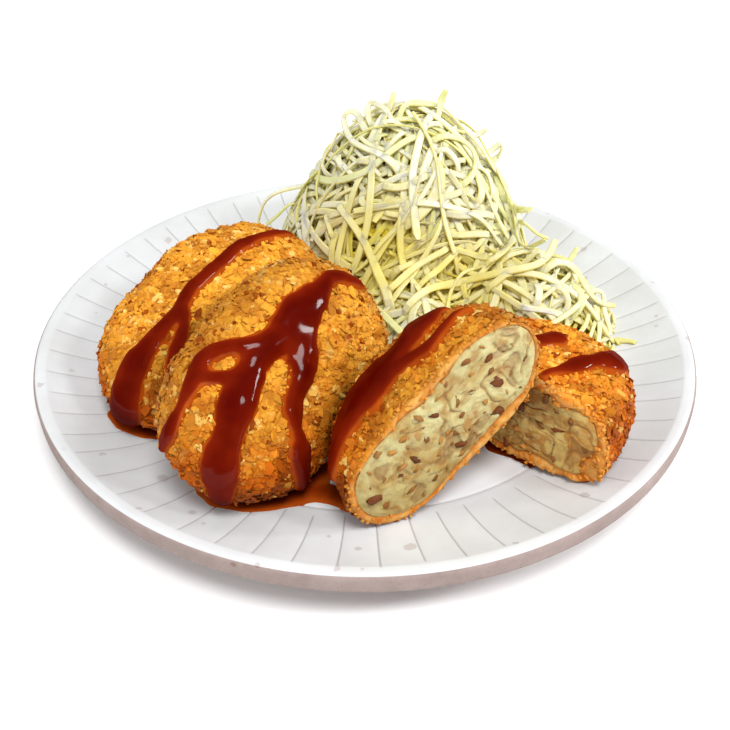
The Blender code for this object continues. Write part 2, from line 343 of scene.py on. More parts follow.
def glaze_material():
    """Warm white satin glaze with sparse specks and faint clouding; taupe bare clay
    on the band round the edge and under the plate, whose darkness on the band is
    also painted shade. The colour attribute's red channel tells glaze from clay,
    its green the groove tint and its blue the well, where the glaze is painted
    whiter as painted light."""
    n = Nodes("stoneware_glaze")
    place = n.place()
    split = n.add("ShaderNodeSeparateColor")
    n.link(n.add("ShaderNodeAttribute", attribute_name="Col").outputs["Color"], split.inputs[0])
    bare_clay_and_shade, groove, well = split.outputs[0], split.outputs[1], split.outputs[2]

    cloud = n.noise(38.0, 4.0, 0.6, place)
    glaze = n.ramp(cloud.outputs["Fac"], [(0.32, lin(205, 207, 207)), (0.5, lin(211, 213, 214)),
                                          (0.68, lin(216, 219, 221))]).outputs[0]
    # painted light: the glaze in the well is painted whiter, against the shade that the croquettes cast there
    glaze = n.blend(n.maths("MULTIPLY", well, 0.75), glaze, lin(241, 242, 243))
    # specks of iron in the glaze: small blots with soft edges, in three sizes
    specks = None
    for scale, share, size in ((62.0, 0.80, 0.115), (120.0, 0.86, 0.10), (34.0, 0.84, 0.085)):
        vor = n.add("ShaderNodeTexVoronoi")
        vor.inputs["Scale"].default_value = scale
        off = n.add("ShaderNodeVectorMath", operation="ADD")
        jit = n.noise(scale * 6, 2.0, 0.5, place)
        sc = n.add("ShaderNodeVectorMath", operation="SCALE")
        n.link(jit.outputs["Color"], sc.inputs[0])
        sc.inputs["Scale"].default_value = 0.09 / scale
        n.link(place, off.inputs[0])
        n.link(sc.outputs[0], off.inputs[1])
        n.link(off.outputs[0], vor.inputs["Vector"])
        sep = n.add("ShaderNodeSeparateColor")
        n.link(vor.outputs["Color"], sep.inputs[0])
        pick = n.maths("GREATER_THAN", sep.outputs[0], share - 0.35)
        reach = n.maths("MULTIPLY", n.maths("MULTIPLY", sep.outputs[1], size * 1.6), pick)
        edge = n.maths("SUBTRACT", reach, vor.outputs["Distance"])
        mask = n.add("ShaderNodeMapRange", clamp=True)
        n.link(edge, mask.inputs["Value"])
        mask.inputs["From Min"].default_value = 0.0
        mask.inputs["From Max"].default_value = 0.035
        specks = mask.outputs[0] if specks is None else n.maths("MAXIMUM", specks, mask.outputs[0])
    # broad soft blots, seen from above
    blot = n.add("ShaderNodeTexVoronoi")
    blot.voronoi_dimensions = "2D"
    blot.inputs["Scale"].default_value = 42.0
    blot.inputs["Randomness"].default_value = 0.9
    wav = n.noise(420.0, 2.0, 0.5, place)
    off = n.add("ShaderNodeVectorMath", operation="ADD")
    sc = n.add("ShaderNodeVectorMath", operation="SCALE")
    n.link(wav.outputs["Color"], sc.inputs[0])
    sc.inputs["Scale"].default_value = 0.0032
    n.link(place, off.inputs[0])
    n.link(sc.outputs[0], off.inputs[1])
    n.link(off.outputs[0], blot.inputs["Vector"])
    sep = n.add("ShaderNodeSeparateColor")
    n.link(blot.outputs["Color"], sep.inputs[0])
    reach = n.maths("MULTIPLY", n.maths("GREATER_THAN", sep.outputs[0], 0.42),
                    n.maths("ADD", n.maths("MULTIPLY", sep.outputs[1], 0.055), 0.028))
    mask = n.add("ShaderNodeMapRange", clamp=True)
    n.link(n.maths("SUBTRACT", reach, blot.outputs["Distance"]), mask.inputs["Value"])
    mask.inputs["From Min"].default_value = 0.0
    mask.inputs["From Max"].default_value = 0.016
    blots = mask.outputs[0]
    glaze = n.blend(n.maths("MULTIPLY", blots, 0.70), glaze, lin(186, 178, 176))
    glaze = n.blend(n.maths("MULTIPLY", specks, 0.62), glaze, lin(178, 170, 167))
    glaze = n.blend(groove, glaze, lin(150, 143, 141))

    grain = n.noise(900.0, 3.0, 0.7, place)
    # taupe clay body: bare clay, darkened as painted shade of the edge band
    body = n.ramp(n.noise(60.0, 5.0, 0.65, place).outputs["Fac"],
                  [(0.3, lin(143, 126, 121)), (0.5, lin(155, 138, 133)), (0.7, lin(165, 148, 143))]).outputs[0]
    body = n.blend(n.maths("MULTIPLY", specks, 0.8), body, lin(128, 106, 99))
    body = n.blend(n.maths("MULTIPLY", blots, 0.6), body, lin(138, 116, 110))
    body = n.blend(n.maths("MULTIPLY", n.maths("GREATER_THAN", grain.outputs["Fac"], 0.60), 0.25), body,
                   lin(120, 104, 98))
    colour = n.blend(bare_clay_and_shade, glaze, body)
    n.link(colour, n.shader.inputs["Base Color"])
    rough = n.maths("ADD", n.maths("MULTIPLY", bare_clay_and_shade, 0.38), 0.36)
    n.link(n.maths("ADD", rough, n.maths("MULTIPLY", cloud.outputs["Fac"], 0.1)), n.shader.inputs["Roughness"])
    n.shader.inputs["Specular IOR Level"].default_value = 0.24
    n.bump(n.maths("ADD", grain.outputs["Fac"],
                   n.maths("MULTIPLY", n.noise(260.0, 2.0, 0.5, place).outputs["Fac"], 1.5)), 0.10, 0.00025)
    return n.mat


def crust_material():
    n = Nodes("fried_crumb")
    place = n.place()
    col = n.add("ShaderNodeAttribute", attribute_name="Col").outputs["Color"]
    fine = n.noise(1400.0, 4.0, 0.65, place)
    mottle = n.noise(330.0, 3.0, 0.55, place)
    tint = n.ramp(mottle.outputs["Fac"], [(0.30, (0.84, 0.76, 0.66)), (0.5, (1.0, 1.0, 1.0)),
                                          (0.72, (1.05, 1.07, 1.06))]).outputs[0]
    n.link(n.blend(0.8, col, tint, "MULTIPLY"), n.shader.inputs["Base Color"])
    rough = n.add("ShaderNodeMapRange")
    n.link(mottle.outputs["Fac"], rough.inputs["Value"])
    rough.inputs["To Min"].default_value = 0.38
    rough.inputs["To Max"].default_value = 0.62
    n.link(rough.outputs[0], n.shader.inputs["Roughness"])
    n.shader.inputs["Specular IOR Level"].default_value = 0.10
    n.shader.inputs["Subsurface Weight"].default_value = 0.12
    n.shader.inputs["Subsurface Radius"].default_value = (1.0, 0.5, 0.2)
    n.shader.inputs["Subsurface Scale"].default_value = 0.0012
    n.bump(fine.outputs["Fac"], 0.22, 0.0004)
    return n.mat


def filling_material():
    n = Nodes("potato_filling")
    place = n.place()
    col = n.add("ShaderNodeAttribute", attribute_name="Col").outputs["Color"]
    soft = n.noise(300.0, 5.0, 0.6, place)
    fine = n.noise(1500.0, 3.0, 0.6, place)
    tint = n.ramp(soft.outputs["Fac"], [(0.30, (0.80, 0.74, 0.64)), (0.5, (1.0, 1.0, 0.99)),
                                        (0.7, (1.06, 1.08, 1.10))]).outputs[0]
    n.link(n.blend(0.8, col, tint, "MULTIPLY"), n.shader.inputs["Base Color"])
    rough = n.add("ShaderNodeMapRange")
    n.link(soft.outputs["Fac"], rough.inputs["Value"])
    rough.inputs["To Min"].default_value = 0.42
    rough.inputs["To Max"].default_value = 0.66
    n.link(rough.outputs[0], n.shader.inputs["Roughness"])
    n.shader.inputs["Specular IOR Level"].default_value = 0.25
    n.shader.inputs["Subsurface Weight"].default_value = 0.25
    n.shader.inputs["Subsurface Radius"].default_value = (1.0, 0.7, 0.35)
    n.shader.inputs["Subsurface Scale"].default_value = 0.002
    n.bump(n.maths("ADD", fine.outputs["Fac"], n.maths("MULTIPLY", soft.outputs["Fac"], 1.2)), 0.4, 0.0005)
    return n.mat


def cabbage_material():
    n = Nodes("shredded_cabbage")
    place = n.place()
    col = n.add("ShaderNodeAttribute", attribute_name="Col").outputs["Color"]
    vein = n.noise(260.0, 3.0, 0.5, place)
    fine = n.noise(1300.0, 2.0, 0.5, place)
    tint = n.ramp(vein.outputs["Fac"], [(0.3, (0.97, 0.95, 0.74)), (0.55, (1.0, 1.0, 0.98)),
                                        (0.75, (1.03, 1.03, 1.06))]).outputs[0]
    n.link(n.blend(0.8, col, tint, "MULTIPLY"), n.shader.inputs["Base Color"])
    n.link(n.maths("ADD", n.maths("MULTIPLY", vein.outputs["Fac"], 0.25), 0.30), n.shader.inputs["Roughness"])
    n.shader.inputs["Specular IOR Level"].default_value = 0.45
    n.shader.inputs["Subsurface Weight"].default_value = 0.45
    n.shader.inputs["Subsurface Radius"].default_value = (1.0, 0.92, 0.36)
    n.shader.inputs["Subsurface Scale"].default_value = 0.0032
    n.bump(fine.outputs["Fac"], 0.15, 0.0003)
    return n.mat


def sauce_material():
    n = Nodes("thick_brown_sauce")
    place = n.place()
    col = n.add("ShaderNodeAttribute", attribute_name="Col").outputs["Color"]
    swirl = n.noise(120.0, 3.0, 0.5, place)
    tint = n.ramp(swirl.outputs["Fac"], [(0.3, (0.84, 0.70, 0.70)), (0.5, (1.0, 1.0, 1.0)),
                                         (0.72, (1.20, 1.35, 1.3))]).outputs[0]
    n.link(n.blend(1.0, col, tint, "MULTIPLY"), n.shader.inputs["Base Color"])
    # a thin even gloss: it doesn't turn white towards the edges
    n.shader.inputs["Roughness"].default_value = 0.30
    n.shader.inputs["Specular IOR Level"].default_value = 0.0
    n.shader.inputs["Coat Weight"].default_value = 0.055
    n.shader.inputs["Coat IOR"].default_value = 2.2
    n.shader.inputs["Coat Roughness"].default_value = 0.09
    n.bump(n.noise(220.0, 2.0, 0.5, place).outputs["Fac"], 0.10, 0.0006)
    return n.mat


# ---------------------------------------------------------------- plate
GROOVES = 60
GROOVE_START = 84.6
GROOVE_END = 110.2


def rim_height(r):
    t = np.clip((r - WELL_R) / (LIP_R - WELL_R), 0.0, 1.0)
    return WELL_Z + (RIM_TOP - 0.3 - WELL_Z) * (0.42 * t + 0.58 * t * t)


def build_plate(mat):
    rng = np.random.default_rng(3)
    pitch = 2 * math.pi / GROOVES
    middle = (np.arange(GROOVES) + 0.35) * pitch + rng.normal(0, 0.0045, GROOVES)
    starts = GROOVE_START + rng.normal(0, 0.5, GROOVES)
    ends = GROOVE_END + rng.normal(0, 0.35, GROOVES)
    offs = np.array([-0.52, -0.30, -0.14, 0.0, 0.14, 0.30, 0.52]) / 97.0
    angles, groove_of = [], []
    for i in range(GROOVES):
        nxt = middle[(i + 1) % GROOVES] + (2 * math.pi if i == GROOVES - 1 else 0.0)
        for o in offs:
            angles.append(middle[i] + o)
            groove_of.append(i)
        lo, hi = middle[i] + offs[-1], nxt + offs[0]
        for k in (0.28, 0.5, 0.72):
            angles.append(lo + (hi - lo) * k)
            groove_of.append(i if k < 0.5 else (i + 1) % GROOVES)
    angles, groove_of = np.array(angles), np.array(groove_of)
    count = len(angles)
    local = (angles - middle[groove_of] + math.pi) % (2 * math.pi) - math.pi
    local = np.abs(local) * 97.0                      # mm from the groove's line

    radii = np.concatenate([
        np.array([10, 22, 34, 46, 57, 67, 75, 79.0, 80.4, 80.9, 81.2, 81.5, 81.8, 82.2, 83.0]),
        np.array([83.7, 84.2, 84.6, 85.0, 85.5, 86.2, 87.2]),
        np.linspace(89.2, 107.2, 10),
        np.array([108.8, 109.5, 110.0, 110.4, 110.9, 111.6, 112.4])])
    rows_r, rows_z, rows_clay_and_shade, rows_groove, rows_well = [], [], [], [], []
    for r in radii:
        z = np.full(count, float(rim_height(r)))
        if r > 111.0:
            z += 0.3 * smoothstep(111.0, 113.2, r)
        # shallow ring where the well meets the rim
        ring = math.exp(-((r - 81.5) / 0.42) ** 2)
        z -= 0.30 * ring
        along = smoothstep(starts - 0.7, starts + 0.8, r) * (1 - smoothstep(ends - 0.8, ends + 0.7, r))
        across = np.exp(-(local / 0.24) ** 2)
        depth = along[groove_of] * across
        z -= 0.24 * depth
        # hand-thrown surface: very slight waves
        z += 0.10 * np.sin(angles * 2 + 0.6) * smoothstep(20.0, 90.0, r)
        rows_r.append(np.full(count, r))
        rows_z.append(z)
        rows_clay_and_shade.append(np.zeros(count))
        rows_groove.append(np.clip(0.62 * depth + 0.30 * ring, 0, 1))
        rows_well.append(np.full(count, float(1 - smoothstep(74.0, 86.0, r))))
    # lip, edge band, underside, foot and recess: (r, z, bare clay, also painted shade on the band)
    wave = 0.10 * np.sin(angles * 2 + 0.6)
    tail = [(113.2, 21.0, 0), (113.75, 20.93, 0), (114.15, 20.74, 0), (114.3, 20.65, 1), (114.6, 20.42, 1), (114.85, 20.05, 1),
            (115.0, 19.5, 1), (115.0, 18.0, 1), (115.0, 16.6, 1), (114.95, 15.6, 1), (114.7, 15.0, 1),
            (114.2, 14.7, 1), (113.6, 14.55, 1)]
    low = RIM_TOP - EDGE_H
    for i in range(1, 6):
        t = i / 5
        r = 113.9 + (FOOT_OUT + 2.5 - 113.9) * t
        z = low + (FOOT_RECESS - low) * (0.8 * t + 0.2 * t * t)
        tail.append((r, z, 1))
    tail += [(68.4, 2.6, 1), (67.7, 1.2, 1), (67.4, 0.45, 1), (66.8, 0.05, 1), (66.3, 0.0, 1), (60.8, 0.0, 1),
             (60.2, 0.08, 1), (59.6, 0.5, 1), (58.9, 2.2, 1), (57.9, 3.5, 1), (56.5, 3.95, 1), (40.0, 4.0, 1),
             (20.0, 4.0, 1)]
    for r, z, bare_clay_and_shade in tail:
        keep = smoothstep(9.0, 20.0, z)
        rows_r.append(np.full(count, r))
        rows_z.append(np.full(count, z) + wave * keep)
        # the glaze stops at an uneven line along the edge band
        rows_clay_and_shade.append(np.full(count, float(bare_clay_and_shade)))
        rows_groove.append(np.zeros(count))
        rows_well.append(np.zeros(count))
    R, Z = np.array(rows_r), np.array(rows_z)
    A = np.broadcast_to(angles, R.shape)
    verts = np.stack([R * np.cos(A), R * np.sin(A), Z], -1).reshape(-1, 3)
    bare_clay_and_shade, groove = np.array(rows_clay_and_shade).ravel(), np.array(rows_groove).ravel()
    rows = len(R)
    top, bottom = len(verts), len(verts) + 1
    verts = np.vstack([verts, [[0, 0, WELL_Z]], [[0, 0, FOOT_RECESS]]])
    colour = np.zeros((len(verts), 3))
    colour[:-2, 0], colour[:-2, 1], colour[:-2, 2] = bare_clay_and_shade, groove, np.array(rows_well).ravel()
    colour[-2, 2] = 1.0
    colour[-1, 0] = 1.0
    c = np.arange(count)
    nx = (c + 1) % count
    tris = np.concatenate([np.stack([np.full(count, top), c, nx], 1),
                           np.stack([np.full(count, bottom), (rows - 1) * count + nx, (rows - 1) * count + c], 1)])
    quads = grid_faces(rows, count)[:, [0, 3, 2, 1]]
    ob = make_object("plate_glazed", verts, tris, quads, mat, colour)
    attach(ob, "root")
    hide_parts("plate")
    return ob


# ---------------------------------------------------------------- croquette shapes
def frame_of(spec):
    """Rotation (columns x, y, z) and centre in mm of a croquette."""
    x = np.array(spec["axis"], float)
    x /= np.linalg.norm(x)
    z = np.array(spec["up"], float)
    z -= x * (z @ x)
    z /= np.linalg.norm(z)
    y = np.cross(z, x)
    return np.stack([x, y, z], 1), np.array(spec["c"], float)


def waves(seed, count=7):
    rng = np.random.default_rng(seed)
    k = rng.normal(size=(count, 3))
    k /= np.linalg.norm(k, axis=1)[:, None]
    k *= (2 * math.pi / rng.uniform(17.0, 40.0, count))[:, None]
    return k, rng.uniform(0.0, 2 * math.pi, count)


def section_radius(x, angle, a, b, t):
    """Distance from the long axis to the surface, for arrays of x and angle."""
    x, angle = np.broadcast_arrays(np.asarray(x, float), np.asarray(angle, float))
    lo = np.zeros(x.shape)
    hi = np.full(x.shape, float(max(b, t)))
    cy, cz = np.abs(np.cos(angle)), np.abs(np.sin(angle))
    px = np.minimum(np.abs(x) / a, 1.0) ** PLAN_N
    for _ in range(30):
        mid = 0.5 * (lo + hi)
        value = (px + (mid * cy / b) ** PLAN_N) ** (SIDE_K / PLAN_N) + (2 * mid * cz / t) ** SIDE_Q
        inside = value < 1.0
        lo = np.where(inside, mid, lo)
        hi = np.where(inside, hi, mid)
    return 0.5 * (lo + hi)


def skin(spec, x, angle, inset):
    """Points of a croquette's surface drawn in by an inset, in its own frame."""
    x, angle, inset = np.broadcast_arrays(x, angle, inset)
    a, b, t = spec["a"], spec["b"], spec["t"]
    k, phase = waves(spec["seed"])
    # the surface at the middle inset is scaled by its own ratio, so that the
    # inset may differ from point to point
    mean = float(np.mean(inset))
    ai, bi, ti = a - mean, b - mean, t - 2 * mean
    xs = np.clip(x, -ai, ai)
    rho = section_radius(xs, angle, ai, bi, ti) - (inset - mean)
    rho = np.maximum(rho, 0.0)
    y, z = rho * np.cos(angle), rho * np.sin(angle)
    spot = np.stack([xs * a / ai, y * b / bi, z * t / ti], -1)
    bump = np.sin(spot @ k.T + phase).sum(-1) / math.sqrt(len(phase))
    rho = rho + UNEVEN * bump * np.minimum(1.0, rho / 8.0)
    return np.stack([xs, rho * np.cos(angle), rho * np.sin(angle)], -1)


def inside_value(spec, p, margin=0.0):
    """Below 1 inside a croquette grown by a margin; points in mm."""
    rot, c = frame_of(spec)
    q = (p - c) @ rot
    a, b, t = spec["a"] + margin, spec["b"] + margin, spec["t"] + 2 * margin
    value = ((np.abs(q[:, 0]) / a) ** PLAN_N + (np.abs(q[:, 1]) / b) ** PLAN_N) ** (SIDE_K / PLAN_N) \
        + (2 * np.abs(q[:, 2]) / t) ** SIDE_Q
    if "cut" in spec:
        value = np.where(q[:, 0] > spec["cut"] + margin, 9.0, value)
    return value


def ring_angles(cols):
    angle = 2 * math.pi * (np.arange(cols) + 0.5) / cols
    return angle - 0.22 * np.sin(2 * angle)


def distance_to(spec, p):
    """Rough distance in mm from points to a croquette's surface."""
    lo, hi = np.full(len(p), -6.0), np.full(len(p), 34.0)
    for _ in range(9):
        mid = 0.5 * (lo + hi)
        rot, c = frame_of(spec)
        q = (p - c) @ rot
        a, b, t = spec["a"] + mid, spec["b"] + mid, spec["t"] + 2 * mid
        value = ((np.abs(q[:, 0]) / a) ** PLAN_N + (np.abs(q[:, 1]) / b) ** PLAN_N) ** (SIDE_K / PLAN_N) \
            + (2 * np.abs(q[:, 2]) / t) ** SIDE_Q
        if "cut" in spec:
            value = np.where(q[:, 0] > spec["cut"] + mid, 9.0, value)
        inside = value < 1.0
        hi = np.where(inside, mid, hi)
        lo = np.where(inside, lo, mid)
    return 0.5 * (lo + hi)


BEHIND = {"croquette_left": ("croquette_front",), "croquette_front": ("half_front",), "half_back": ("half_front",)}


def shade_near(key, p):
    """Painted shade: crumbs are darkened where croquettes lie against each other,
    and on the left croquette softly for some way out from the front one. Only
    real distances count."""
    shade = np.ones(len(p))
    for other, spec in SPECS.items():
        if other == key:
            continue
        near = distance_to(spec, p)
        if other in BEHIND.get(key, ()):
            shade = np.minimum(shade, 0.16 + 0.84 * smoothstep(0.3, 6.0, near) ** 0.8)
            if key == "croquette_left":
                # painted shadow of the front croquette on the left one
                shade = shade * (0.50 + 0.50 * smoothstep(11.0, 22.0, near))
        else:
            shade = np.minimum(shade, 0.80 + 0.20 * smoothstep(0.2, 3.0, near))
    return shade * CRUST_BRIGHTNESS[key]


# a brightness factor for each croquette's crust
CRUST_BRIGHTNESS = {"croquette_left": 0.93, "croquette_front": 0.83, "half_front": 0.76, "half_back": 0.93}


def rim_brown_and_shade(key, p):
    """How much browner a croquette is round its rim, where it turns from one flat
    side to the other, partly as painted shade: most where that rim lies close to
    another croquette, which is painted shade."""
    spec = SPECS[key]
    rot, centre = frame_of(spec)
    q = (p - centre) @ rot
    level = np.abs(2 * q[:, 2]) / spec["t"]
    out = 0.34 * smoothstep(0.92, 0.40, level)
    close = np.zeros(len(p))
    for other, there in SPECS.items():
        if other != key:
            close = np.maximum(close, smoothstep(32.0, 10.0, distance_to(there, p)))
    return np.clip(out * (1 + 0.9 * close), 0, 0.47)


def crevice(key, p):
    """How close (1 touching, 0 clear) points lie to a croquette in front."""
    close = np.zeros(len(p))
    for other in BEHIND.get(key, ()):
        close = np.maximum(close, 1 - smoothstep(0.8, 3.2, distance_to(SPECS[other], p)))
    return close


def swell(d):
    """Height of the sauce at a depth inside its edge: round edges, thick middle."""
    inside = np.maximum(d, 0.0)
    return np.where(d > 0, 2.15 * np.tanh(0.60 * np.sqrt(inside)), 1.25 * d)


def outer_grid(spec, rows, cols):
    """Dense grid of a croquette's smooth surface: world points and normals."""
    rot, centre = frame_of(spec)
    angle = ring_angles(cols)
    a = spec["a"]
    end = math.pi / 2 if "cut" not in spec else math.asin((spec["cut"] - 0.1) / a)
    s = np.linspace(-math.pi / 2, end, rows + 1)[1:] if "cut" in spec else np.linspace(-math.pi / 2, end, rows + 2)[1:-1]
    pts = skin(spec, (a * np.sin(s))[:, None], angle[None, :], 0.0)
    n = len(pts)
    flat = pts.reshape(-1, 3)
    quads = grid_faces(n, cols)
    nrm = vertex_normals(flat, quads_to_tris(quads))
    if (nrm * flat).sum() < 0:
        nrm = -nrm
    return flat @ rot.T + centre, nrm @ rot.T, quads


# ---------------------------------------------------------------- where the sauce lies
# Runs of sauce on each croquette as seen from the front: (across, down, half
# width) in picture units, 730 to the picture's width, with the bare windows
# that they leave open.
RUNS = {
    "croquette_left": (
        ((296.7, 236.3, 1.5), (284.8, 234.1, 2.4), (272.8, 234.6, 3.3), (260.9, 237.6, 3.7), (250, 241.5, 4.3),
        (239.1, 246.7, 5.2), (228.3, 256.5, 6.3), (216.3, 267.4, 6.3), (204.3, 276.7, 6.1), (193.5, 287, 6.5), (187,
        295.7, 6.5), (182.6, 305.4, 7.4), (180.9, 314.6, 8.7), (176.5, 320.2, 9.8)),
        ((176.5, 320.7, 9.6), (166.3, 328.9, 9.6), (155.9, 338, 9.1), (145.7, 351.1, 10.9), (137.4, 363.5, 13.5),
        (130.9, 377.2, 14.3), (127.6, 390.2, 14.8), (126.3, 403.3, 14.8), (127.8, 415.9, 13.5)),
        ((180.9, 318.5, 8.7), (183.5, 329.3, 6.7), (182.2, 337, 6.7), (179.6, 343.5, 7), (175, 353.3, 7.2), (170.2,
        364.1, 4.6), (167, 375, 2.4), (163.7, 388.5, 0.9)),
    ),
    "croquette_front": (
        ((363, 288.5, 1.3), (355.4, 282.6, 3.7), (350, 281.1, 4.6), (341.3, 277.8, 6.1), (333.7, 278, 7.2), (327.8,
        279.3, 8), (320, 289.1, 10.9), (311.3, 300, 16.7), (300, 312.4, 21.7), (292.4, 328.3, 23.5), (282.6, 342.4,
        19.6), (267.4, 353.3, 19.6), (252.2, 364.1, 16.5)),
        ((273.9, 338, 10.9), (256.5, 343.5, 9.1), (241.3, 346.1, 7.8), (228.3, 347.8, 7.2), (217.4, 350.4, 7.2),
        (208.7, 355, 7.4), (202.6, 361.5, 8), (197.4, 372.8, 9.1), (192.4, 383.3, 7.8), (188, 392.8, 6.3), (183.5,
        402.2, 4.8), (179.1, 411.5, 3.9), (174.3, 420.7, 5.7), (170.9, 429.8, 7.2), (168, 439.1, 7.2), (165.7, 446.7,
        4.8)),
        ((197.8, 375, 8.3), (208.7, 378.5, 6.7), (217.4, 378.9, 7), (230.4, 378.5, 8.3), (243.5, 377.2, 13)),
        ((250, 375, 15.7), (242.4, 388, 18.5), (238.3, 398.9, 20.2), (234.8, 409.8, 20), (231.7, 420.7, 17.4), (228.5,
        431.5, 16.1), (225.2, 442.4, 16.7), (220.9, 453.3, 18.5), (219.6, 464.1, 19.6), (220.4, 475, 18.3), (221.1,
        485.9, 14.8), (223, 495.7, 10.4)),
        ((300, 333.7, 15.7), (302, 353.3, 15.4), (302.6, 366.3, 14.1), (301.3, 377.2, 11.7), (297, 388, 9.8), (293,
        398.9, 10), (292, 409.8, 9.8), (293.3, 420.7, 7.6), (295.4, 429.3, 5.2), (298.7, 438, 6.7), (300, 446.7,
        10.2), (300, 455.4, 10.2), (300.7, 464.1, 9.3), (300.7, 475, 7.6), (300.4, 485.9, 6.1), (300.2, 495.7, 4.8)),
    ),
    "half_front": (
        ((447.4, 307.7, 2.1), (442.1, 310.5, 3.5), (432.6, 319.5, 7.2), (424.2, 324.9, 8.4), (415.8, 332.3, 10.5),
        (406.5, 344.2, 8.4), (396.7, 357.9, 8.8), (387.4, 370.2, 13), (374, 385.8, 15.3), (362.3, 399.8, 14.4),
        (352.6, 415.1, 11.6), (343.7, 430.9, 8.6), (337.2, 448.1, 5.8), (334.4, 462.1, 4.7), (332.3, 476, 3.5),
        (331.6, 487.7, 3)),
        ((472.8, 308.6, 0.9), (463, 311.6, 2.3), (454.9, 316.7, 3.7), (447.4, 324.4, 4.2), (437.4, 337.7, 4.9),
        (428.1, 348.6, 5.6), (417.7, 356, 4.9), (408.4, 361.6, 5.8), (400.2, 366.7, 7.9)),
    ),
    "half_back": (
        ((536.3, 340.7, 5.1), (544.4, 340.7, 6), (552.6, 340, 6.5), (559.1, 340.2, 6.3), (561.9, 341.4, 5.3)),
        ((542.1, 376.7, 2.6), (549.1, 373.3, 3.7), (557.2, 371.4, 3.7), (565.3, 369.3, 5.6), (573.5, 366.3, 7.9),
        (582.8, 364.4, 8.6), (592.1, 362.3, 7.2), (600.2, 360.7, 7.9), (608.4, 361.2, 9.5), (615.8, 364.9, 7.9),
        (621.9, 368.6, 5.1)),
    ),
}
WINDOWS = {"croquette_left": (((177.2, 326.7, 1.3), (172.8, 333.7, 3.0), (168.5, 342.4, 3.0)),),
           "croquette_front": (((283.7, 358.0, 2.2), (277.2, 366.3, 4.8), (271.7, 375.0, 6.5)),
                               ((211.5, 368, 2.2), (218, 365, 4.8), (226, 361.5, 6.4), (233.5, 358.5, 5.4)),)}
POOLS = (
    ((112, 413.7, 5.2), (120.7, 421.1, 7.2), (132.6, 425.4, 8.3), (144.6, 430, 7.8), (157, 431.5, 7.4)),
    ((201.1, 490.7, 5.2), (213, 496.7, 8.3), (230.4, 498.5, 10), (245.7, 500, 11.3), (260.9, 499.8, 11.3), (273.9,
    498.9, 10.9), (289.1, 495.7, 10), (304.3, 492, 10), (317.4, 490.7, 10), (330.4, 493.5, 10), (343.5, 499.3,
    9.1), (353.3, 505.4, 7.4)),
    ((487.9, 438.8, 5.1), (493.3, 441.6, 7.9), (504.9, 447.2, 7.4), (515.3, 450.5, 6.5), (525.8, 455.8, 6.5),
    (532.8, 459.3, 6)),
    ((296, 490, 8), (310, 484, 10), (322, 475, 10), (333, 465, 7)),
)


def run_distance(px, py, runs, windows=(), soften=4.0):
    """Distance in picture units to the edge of the sauce; below 0 inside."""
    def chain(points):
        best = np.full(np.shape(px), 1e9)
        for (ax, ay, ar), (bx, by, br) in zip(points[:-1], points[1:]):
            dx, dy = bx - ax, by - ay
            t = np.clip(((px - ax) * dx + (py - ay) * dy) / (dx * dx + dy * dy), 0, 1)
            best = np.minimum(best, np.hypot(px - ax - t * dx, py - ay - t * dy) - (ar + (br - ar) * t))
        return best

    total = None
    for points in runs:
        d = chain(points)
        if total is None:
            total = d
        else:
            h = np.clip(0.5 + 0.5 * (d - total) / soften, 0, 1)
            total = d * (1 - h) + total * h - soften * h * (1 - h)
    for points in windows:
        total = np.maximum(total, -chain(points))
    return total


def lower_edge(key):
    """Where the near outline of a croquette runs, from left to right, and how far
    each place on it lies inside the sauce."""
    if key not in LOWER:
        p, nrm, _ = outer_grid(SPECS[key], 150, 240)
        view = CAM_POS - p
        facing = (nrm * view).sum(1) / np.linalg.norm(view, axis=1)
        on = (np.abs(facing) < 0.06) & (nrm[:, 2] < -0.2) & (nrm[:, 1] < 0.25)
        if "cut" in SPECS[key]:
            on &= (p - frame_of(SPECS[key])[1]) @ frame_of(SPECS[key])[0][:, 0] < SPECS[key]["cut"] - 2.0
        p = p[on]
        pix = project(p)
        far = np.linalg.norm(CAM_POS - p, axis=1)
        d = -run_distance(pix[:, 0], pix[:, 1], RUNS[key], WINDOWS.get(key, ())) * far / FOCAL_PX
        bins = np.arange(p[:, 0].min(), p[:, 0].max() + 1.0, 1.0)
        index = np.digitize(p[:, 0], bins)
        xs, ds, ys = [], [], []
        for i in np.unique(index):
            sel = index == i
            xs.append(p[sel, 0].mean())
            ds.append(d[sel].mean())
            ys.append(p[sel, 1].mean())
        LOWER[key] = np.array(xs), np.array(ds), np.array(ys)
    return LOWER[key]


LOWER = {}


def sauce_depth(key, p, nrm):
    """How far (mm) a point of a croquette's surface lies inside the sauce."""
    pix = project(p)
    view = CAM_POS - p
    far = np.linalg.norm(view, axis=1)
    facing = (nrm * view).sum(1) / far
    wobble = 0.8 * noise3(p, 5.0, 301) + 0.5 * noise3(p, 2.2, 302)
    d = -(run_distance(pix[:, 0], pix[:, 1], RUNS[key], WINDOWS.get(key, ())) + wobble) * far / FOCAL_PX
    # past the outline the sauce thins out over the far side
    d = d - 9.0 * smoothstep(-0.02, -0.42, facing)
    # below the near outline it goes on straight down the under side
    xs, ds, ys = lower_edge(key)
    under = (facing < 0.04) & (nrm[:, 2] < -0.1)
    if len(xs) > 3:
        run = np.interp(p[:, 0], xs, ds, left=-9.0, right=-9.0)
        behind = p[:, 1] - np.interp(p[:, 0], xs, ys)
        run = run - 0.12 * np.maximum(behind, 0.0) - 1.2 * np.maximum(behind - 11.0, 0.0) - 0.3 * wobble
        d = np.where(under, np.maximum(np.where(facing < -0.02, -9.0, d), run), d)
    return d


# ---------------------------------------------------------------- crumbs
GOLD = lin(240, 172, 56)
TAN = lin(206, 136, 42)
ORANGE = lin(216, 110, 13)
BROWN = lin(176, 86, 13)
DARK = lin(138, 62, 9)
CREAM = lin(252, 214, 122)
SOAKED_AND_SHADED = lin(96, 36, 5)
CONTACT_SHADE = lin(46, 16, 4)


